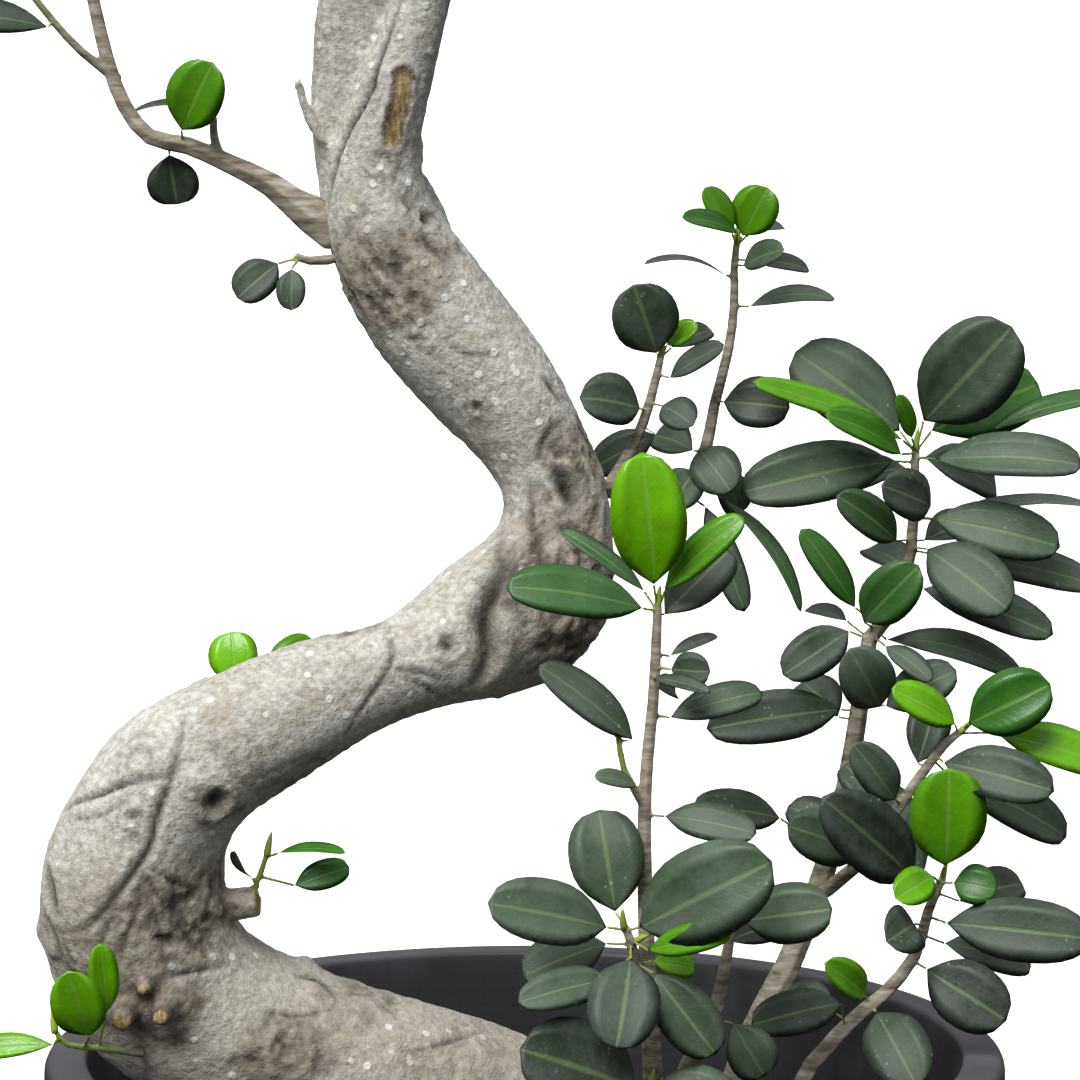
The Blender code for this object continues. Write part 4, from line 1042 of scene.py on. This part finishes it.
# Ficus leaf: a thick waxy blade. Old ones are dull grey-green with dust on them, new ones glossy and
# bright. The under side is paler, and the midrib shows light with faint side veins.
leaf_skin, tree = new_material("ficus_leaf")
coords = add(tree, "ShaderNodeTexCoord")
youth = add(tree, "ShaderNodeAttribute", {"attribute_name": "youth"}).outputs["Fac"]
tone = add(tree, "ShaderNodeAttribute", {"attribute_name": "tone"}).outputs["Fac"]
under_side = add(tree, "ShaderNodeAttribute", {"attribute_name": "under"}).outputs["Fac"]
rib_place = add(tree, "ShaderNodeSeparateXYZ", {}, {0: coords.outputs["UV"]})
from_rib = add(tree, "ShaderNodeMath", {"operation": "SUBTRACT"}, {0: rib_place.outputs["X"], 1: 0.5})
off_rib = add(tree, "ShaderNodeMath", {"operation": "ABSOLUTE"}, {0: from_rib})
midrib = add(tree, "ShaderNodeMapRange", {}, {
    "Value": off_rib, "From Min": 0.045, "From Max": 0.012, "To Min": 0.0, "To Max": 1.0,
})
slant = add(tree, "ShaderNodeMath", {"operation": "MULTIPLY_ADD"}, {
    0: off_rib, 1: -0.55, 2: rib_place.outputs["Y"],
})
vein_rows = add(tree, "ShaderNodeMath", {"operation": "MULTIPLY"}, {0: slant, 1: 11.0})
vein_phase = add(tree, "ShaderNodeMath", {"operation": "PINGPONG"}, {0: vein_rows, 1: 0.5})
veins = add(tree, "ShaderNodeMapRange", {}, {
    "Value": vein_phase, "From Min": 0.09, "From Max": 0.0, "To Min": 0.0, "To Max": 1.0,
})
old = add(tree, "ShaderNodeMix", {"data_type": "RGBA"}, {0: tone, 6: "#1f2b20", 7: "#43563f"})
half_old = add(tree, "ShaderNodeMapRange", {}, {
    "Value": youth, "From Min": 0.15, "From Max": 0.6, "To Min": 0.0, "To Max": 1.0,
})
middle_age = add(tree, "ShaderNodeMix", {"data_type": "RGBA"}, {0: half_old, 6: old, 7: "#2f6a14"})
quite_new = add(tree, "ShaderNodeMapRange", {}, {
    "Value": youth, "From Min": 0.55, "From Max": 1.0, "To Min": 0.0, "To Max": 1.0,
})
blade_green = add(tree, "ShaderNodeMix", {"data_type": "RGBA"}, {0: quite_new, 6: middle_age, 7: "#69ac0e"})
patches = add(tree, "ShaderNodeTexNoise", {}, {
    "Vector": coords.outputs["Object"], "Scale": 1 / (11.8 * MM), "Detail": 4.0, "Roughness": 0.6,
})
shaded = add(tree, "ShaderNodeMapRange", {}, {
    "Value": patches.outputs[0], "From Min": 0.3, "From Max": 0.7, "To Min": 0.78, "To Max": 1.2,
})
toned = add(tree, "ShaderNodeHueSaturation", {}, {"Color": blade_green, "Value": shaded})
rib_tint = add(tree, "ShaderNodeMath", {"operation": "MULTIPLY"}, {0: midrib, 1: 0.26})
ribbed = add(tree, "ShaderNodeMix", {"data_type": "RGBA"}, {0: rib_tint, 6: toned, 7: "#8fae5c"})
vein_tint = add(tree, "ShaderNodeMath", {"operation": "MULTIPLY"}, {0: veins, 1: 0.035})
veined = add(tree, "ShaderNodeMix", {"data_type": "RGBA"}, {0: vein_tint, 6: ribbed, 7: "#9db780"})
matured = add(tree, "ShaderNodeMath", {"operation": "SUBTRACT"}, {0: 1.0, 1: half_old})
film = add(tree, "ShaderNodeTexNoise", {}, {
    "Vector": coords.outputs["Object"], "Scale": 1 / (25 * MM), "Detail": 6.0, "Roughness": 0.75,
})
film_share = add(tree, "ShaderNodeMapRange", {}, {
    "Value": film.outputs[0], "From Min": 0.42, "From Max": 0.72, "To Min": 0.03, "To Max": 0.32,
})
dust = add(tree, "ShaderNodeMath", {"operation": "MULTIPLY"}, {0: film_share, 1: matured})
dusty = add(tree, "ShaderNodeMix", {"data_type": "RGBA"}, {0: dust, 6: veined, 7: "#868e86"})
# Dried water spots: pale flecks about 1 mm wide, in drifts on the old leaves.
fleck_cells = add(tree, "ShaderNodeTexVoronoi", {}, {
    "Vector": coords.outputs["Object"], "Scale": 1 / (2.6 * MM),
})
fleck_dots = add(tree, "ShaderNodeMapRange", {}, {
    "Value": fleck_cells.outputs["Distance"], "From Min": 0.24, "From Max": 0.12,
    "To Min": 0.0, "To Max": 1.0,
})
drift = add(tree, "ShaderNodeMapRange", {}, {
    "Value": patches.outputs[0], "From Min": 0.55, "From Max": 0.7, "To Min": 0.0, "To Max": 0.5,
})
fleck_share = add(tree, "ShaderNodeMath", {"operation": "MULTIPLY"}, {0: fleck_dots, 1: drift})
old_flecks = add(tree, "ShaderNodeMath", {"operation": "MULTIPLY"}, {0: fleck_share, 1: matured})
flecked = add(tree, "ShaderNodeMix", {"data_type": "RGBA"}, {0: old_flecks, 6: dusty, 7: "#b9c2b8"})
under_share = add(tree, "ShaderNodeMath", {"operation": "MULTIPLY"}, {0: under_side, 1: 0.55})
both_sides = add(tree, "ShaderNodeMix", {"data_type": "RGBA"}, {0: under_share, 6: flecked, 7: "#7f9a63"})
wax = add(tree, "ShaderNodeMapRange", {}, {
    "Value": youth, "From Min": 0.0, "From Max": 1.0, "To Min": 0.44, "To Max": 0.2,
})
wear = add(tree, "ShaderNodeMath", {"operation": "MULTIPLY_ADD"}, {0: dust, 1: 0.8, 2: wax})
pebble = add(tree, "ShaderNodeTexNoise", {}, {
    "Vector": coords.outputs["Object"], "Scale": 1 / (2 * MM), "Detail": 2.0,
})
rib_height = add(tree, "ShaderNodeMath", {"operation": "MULTIPLY_ADD"}, {
    0: midrib, 1: -1.2, 2: pebble.outputs[0],
})
leaf_height = add(tree, "ShaderNodeMath", {"operation": "MULTIPLY_ADD"}, {0: veins, 1: -0.22, 2: rib_height})
leather = add(tree, "ShaderNodeBump", {}, {"Strength": 0.3, "Distance": 0.35 * MM, "Height": leaf_height})
blade = add(tree, "ShaderNodeBsdfPrincipled", {}, {
    "Base Color": both_sides, "Roughness": wear, "Normal": leather, "IOR": 1.45,
    "Specular IOR Level": 0.42,
})
add(tree, "ShaderNodeOutputMaterial", {}, {"Surface": blade})

# Young ficus wood: grey-brown and ringed where it is old, yellow-green where it is still soft.
twig, tree = new_material("ficus_twig")
coords = add(tree, "ShaderNodeTexCoord").outputs["Object"]
soft = add(tree, "ShaderNodeAttribute", {"attribute_name": "soft"}).outputs["Fac"]
rings_map = add(tree, "ShaderNodeMapping", {}, {"Vector": coords, "Scale": per_metre(11.1, 11.1, 2.38)})
rings = add(tree, "ShaderNodeTexNoise", {}, {
    "Vector": rings_map, "Scale": 1.0, "Detail": 3.0, "Roughness": 0.6,
})
rind = add(tree, "ShaderNodeValToRGB", {"stops": [
    (0.3, "#574d3f"), (0.5, "#8c8373"), (0.7, "#b5ae9f"),
]}, {0: rings.outputs[0]})
tint = add(tree, "ShaderNodeTexNoise", {}, {"Vector": coords, "Scale": 1 / (14.3 * MM), "Detail": 3.0})
green_wood = add(tree, "ShaderNodeMix", {"data_type": "RGBA"}, {
    0: tint.outputs[0], 6: "#5d7a2a", 7: "#93ab45",
})
twig_color = add(tree, "ShaderNodeMix", {"data_type": "RGBA"}, {0: soft, 6: rind, 7: green_wood})
twig_rough = add(tree, "ShaderNodeMapRange", {}, {
    "Value": soft, "From Min": 0.0, "From Max": 1.0, "To Min": 0.85, "To Max": 0.45,
})
rind_bump = add(tree, "ShaderNodeBump", {}, {
    "Strength": 0.5, "Distance": 0.4 * MM, "Height": rings.outputs[0],
})
stem_body = add(tree, "ShaderNodeBsdfPrincipled", {}, {
    "Base Color": twig_color, "Roughness": twig_rough, "Normal": rind_bump,
})
add(tree, "ShaderNodeOutputMaterial", {}, {"Surface": stem_body})


def youth_of(tip, number, count):
    """How young a leaf is, from 0 to 1: as listed, or a little at a shoot's end."""
    for place, share in YOUNG:
        if (Vector(place) * MM - tip).length < 2.5 * MM:
            return share
    return 0.12 * number / count


def grow_leaves(name, blades, seed):
    """All the leaves of one shoot, from the places and sizes of its blanks."""
    rng = random.Random(seed)
    mesh = bpy.data.meshes.new(name)
    mesh.from_pydata([blade["base"] for blade in blades], [], [])
    rows = {"leaf_axis": [], "leaf_face": [], "leaf_size": [], "leaf_bow": [], "youth": [], "tone": []}
    young_height = float(np.quantile([blade["base"].z for blade in blades], 1 - YOUNG_SHARE))
    for number, blade in enumerate(blades):
        along = blade["along"]
        rows["leaf_axis"].extend(along.normalized())
        rows["leaf_face"].extend(blade["normal"])
        rows["leaf_size"].extend((WIDER * blade["width"], LONGER * along.length, blade["width"]))
        rows["leaf_bow"].append(blade["bow"])
        youth = youth_of(blade["base"] + along, number, len(blades))
        if name.startswith("crown") and blade["base"].z > young_height:
            youth = max(youth, YOUNG_TOP)
        rows["youth"].append(youth)
        rows["tone"].append(rng.random())
    for label, values in rows.items():
        vector = len(values) == 3 * len(blades)
        layer = mesh.attributes.new(label, "FLOAT_VECTOR" if vector else "FLOAT", "POINT")
        layer.data.foreach_set("vector" if vector else "value", values)
    return grown(mesh, leafing, {
        "Kinds": leaf_box, "Ripple": RIPPLE, "Ripple scale": RIPPLE_SCALE, "Seed": seed,
        "Finish": leaf_skin,
    })


def bud_mesh(name, buds):
    """Pointed sheaths over the next leaves, on the ends of a shoot."""
    outline = [(0.0, 0.0), (1.15, 0.02), (1.3, 0.2), (1.05, 0.5), (0.6, 0.8), (0.0, 1.0)]
    joined = bmesh.new()
    for place, heading in buds:
        turn = Vector((0, 0, 1)).rotation_difference(Vector(heading))
        one = turned(name + "_one", [(radius * MM, share * BUD_LENGTH) for radius, share in outline], 10)
        for vertex in one.vertices:
            vertex.co.x += BUD_CURL * (vertex.co.z / BUD_LENGTH) ** 2
            vertex.co = turn @ vertex.co + Vector(place) * MM
        joined.from_mesh(one)
    mesh = bpy.data.meshes.new(name)
    joined.to_mesh(mesh)
    joined.free()
    mesh.shade_smooth()
    return mesh


# Bud sheath: waxy yellow-green, smooth and a little glossy.
sheath, tree = new_material("ficus_bud_sheath")
coords = add(tree, "ShaderNodeTexCoord").outputs["Object"]
tint = add(tree, "ShaderNodeTexNoise", {}, {"Vector": coords, "Scale": 1 / (6.25 * MM), "Detail": 2.0})
bud_green = add(tree, "ShaderNodeMix", {"data_type": "RGBA"}, {
    0: tint.outputs[0], 6: "#7f9a2a", 7: "#a9c24a",
})
bud_skin = add(tree, "ShaderNodeBsdfPrincipled", {}, {"Base Color": bud_green, "Roughness": 0.4})
add(tree, "ShaderNodeOutputMaterial", {}, {"Surface": bud_skin})

host_skins = {}
for host in ROOT_DEPTH:
    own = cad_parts[host].data
    skin_faces = [polygon.vertices[:] for polygon in own.polygons]
    host_skins[host] = BVHTree.FromPolygons([vertex.co for vertex in own.vertices], skin_faces)
shoots = sorted(set(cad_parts) - {"pot", "soil", "trunk"})
for seed, node in enumerate(shoots):
    solid = merged_copy(node)
    blades = take_blades(solid)
    blades += take_crossed(solid, CROSSED.get(node, []))
    sink_roots(solid, node)
    stem_mesh = even_net(solid, node + "_stem", STEM_NET, STEM_ROUNDS)
    stem_points = points_of(stem_mesh)
    stem_skin = BVHTree.FromPolygons(stem_points.tolist(), [p.vertices[:] for p in stem_mesh.polygons])
    through = np.array([
        (stem_skin.ray_cast(Vector(p - n * 0.05 * MM), Vector(-n), 0.04)[3] or 0.04)
        for p, n in zip(stem_points, normals_of(stem_mesh))
    ])
    softness = 1 - smoothstep(through, *SOFT_THICKNESS)
    paint(stem_mesh, "soft", softness)
    stem_mesh.shade_smooth()
    place_piece(node + "_stem", stem_mesh, twig, [node])
    place_piece(node + "_leaves", grow_leaves(node, blades, seed), leaf_skin)
    if node in BUDS:
        place_piece(node + "_buds", bud_mesh(node + "_buds", BUDS[node]), sheath)
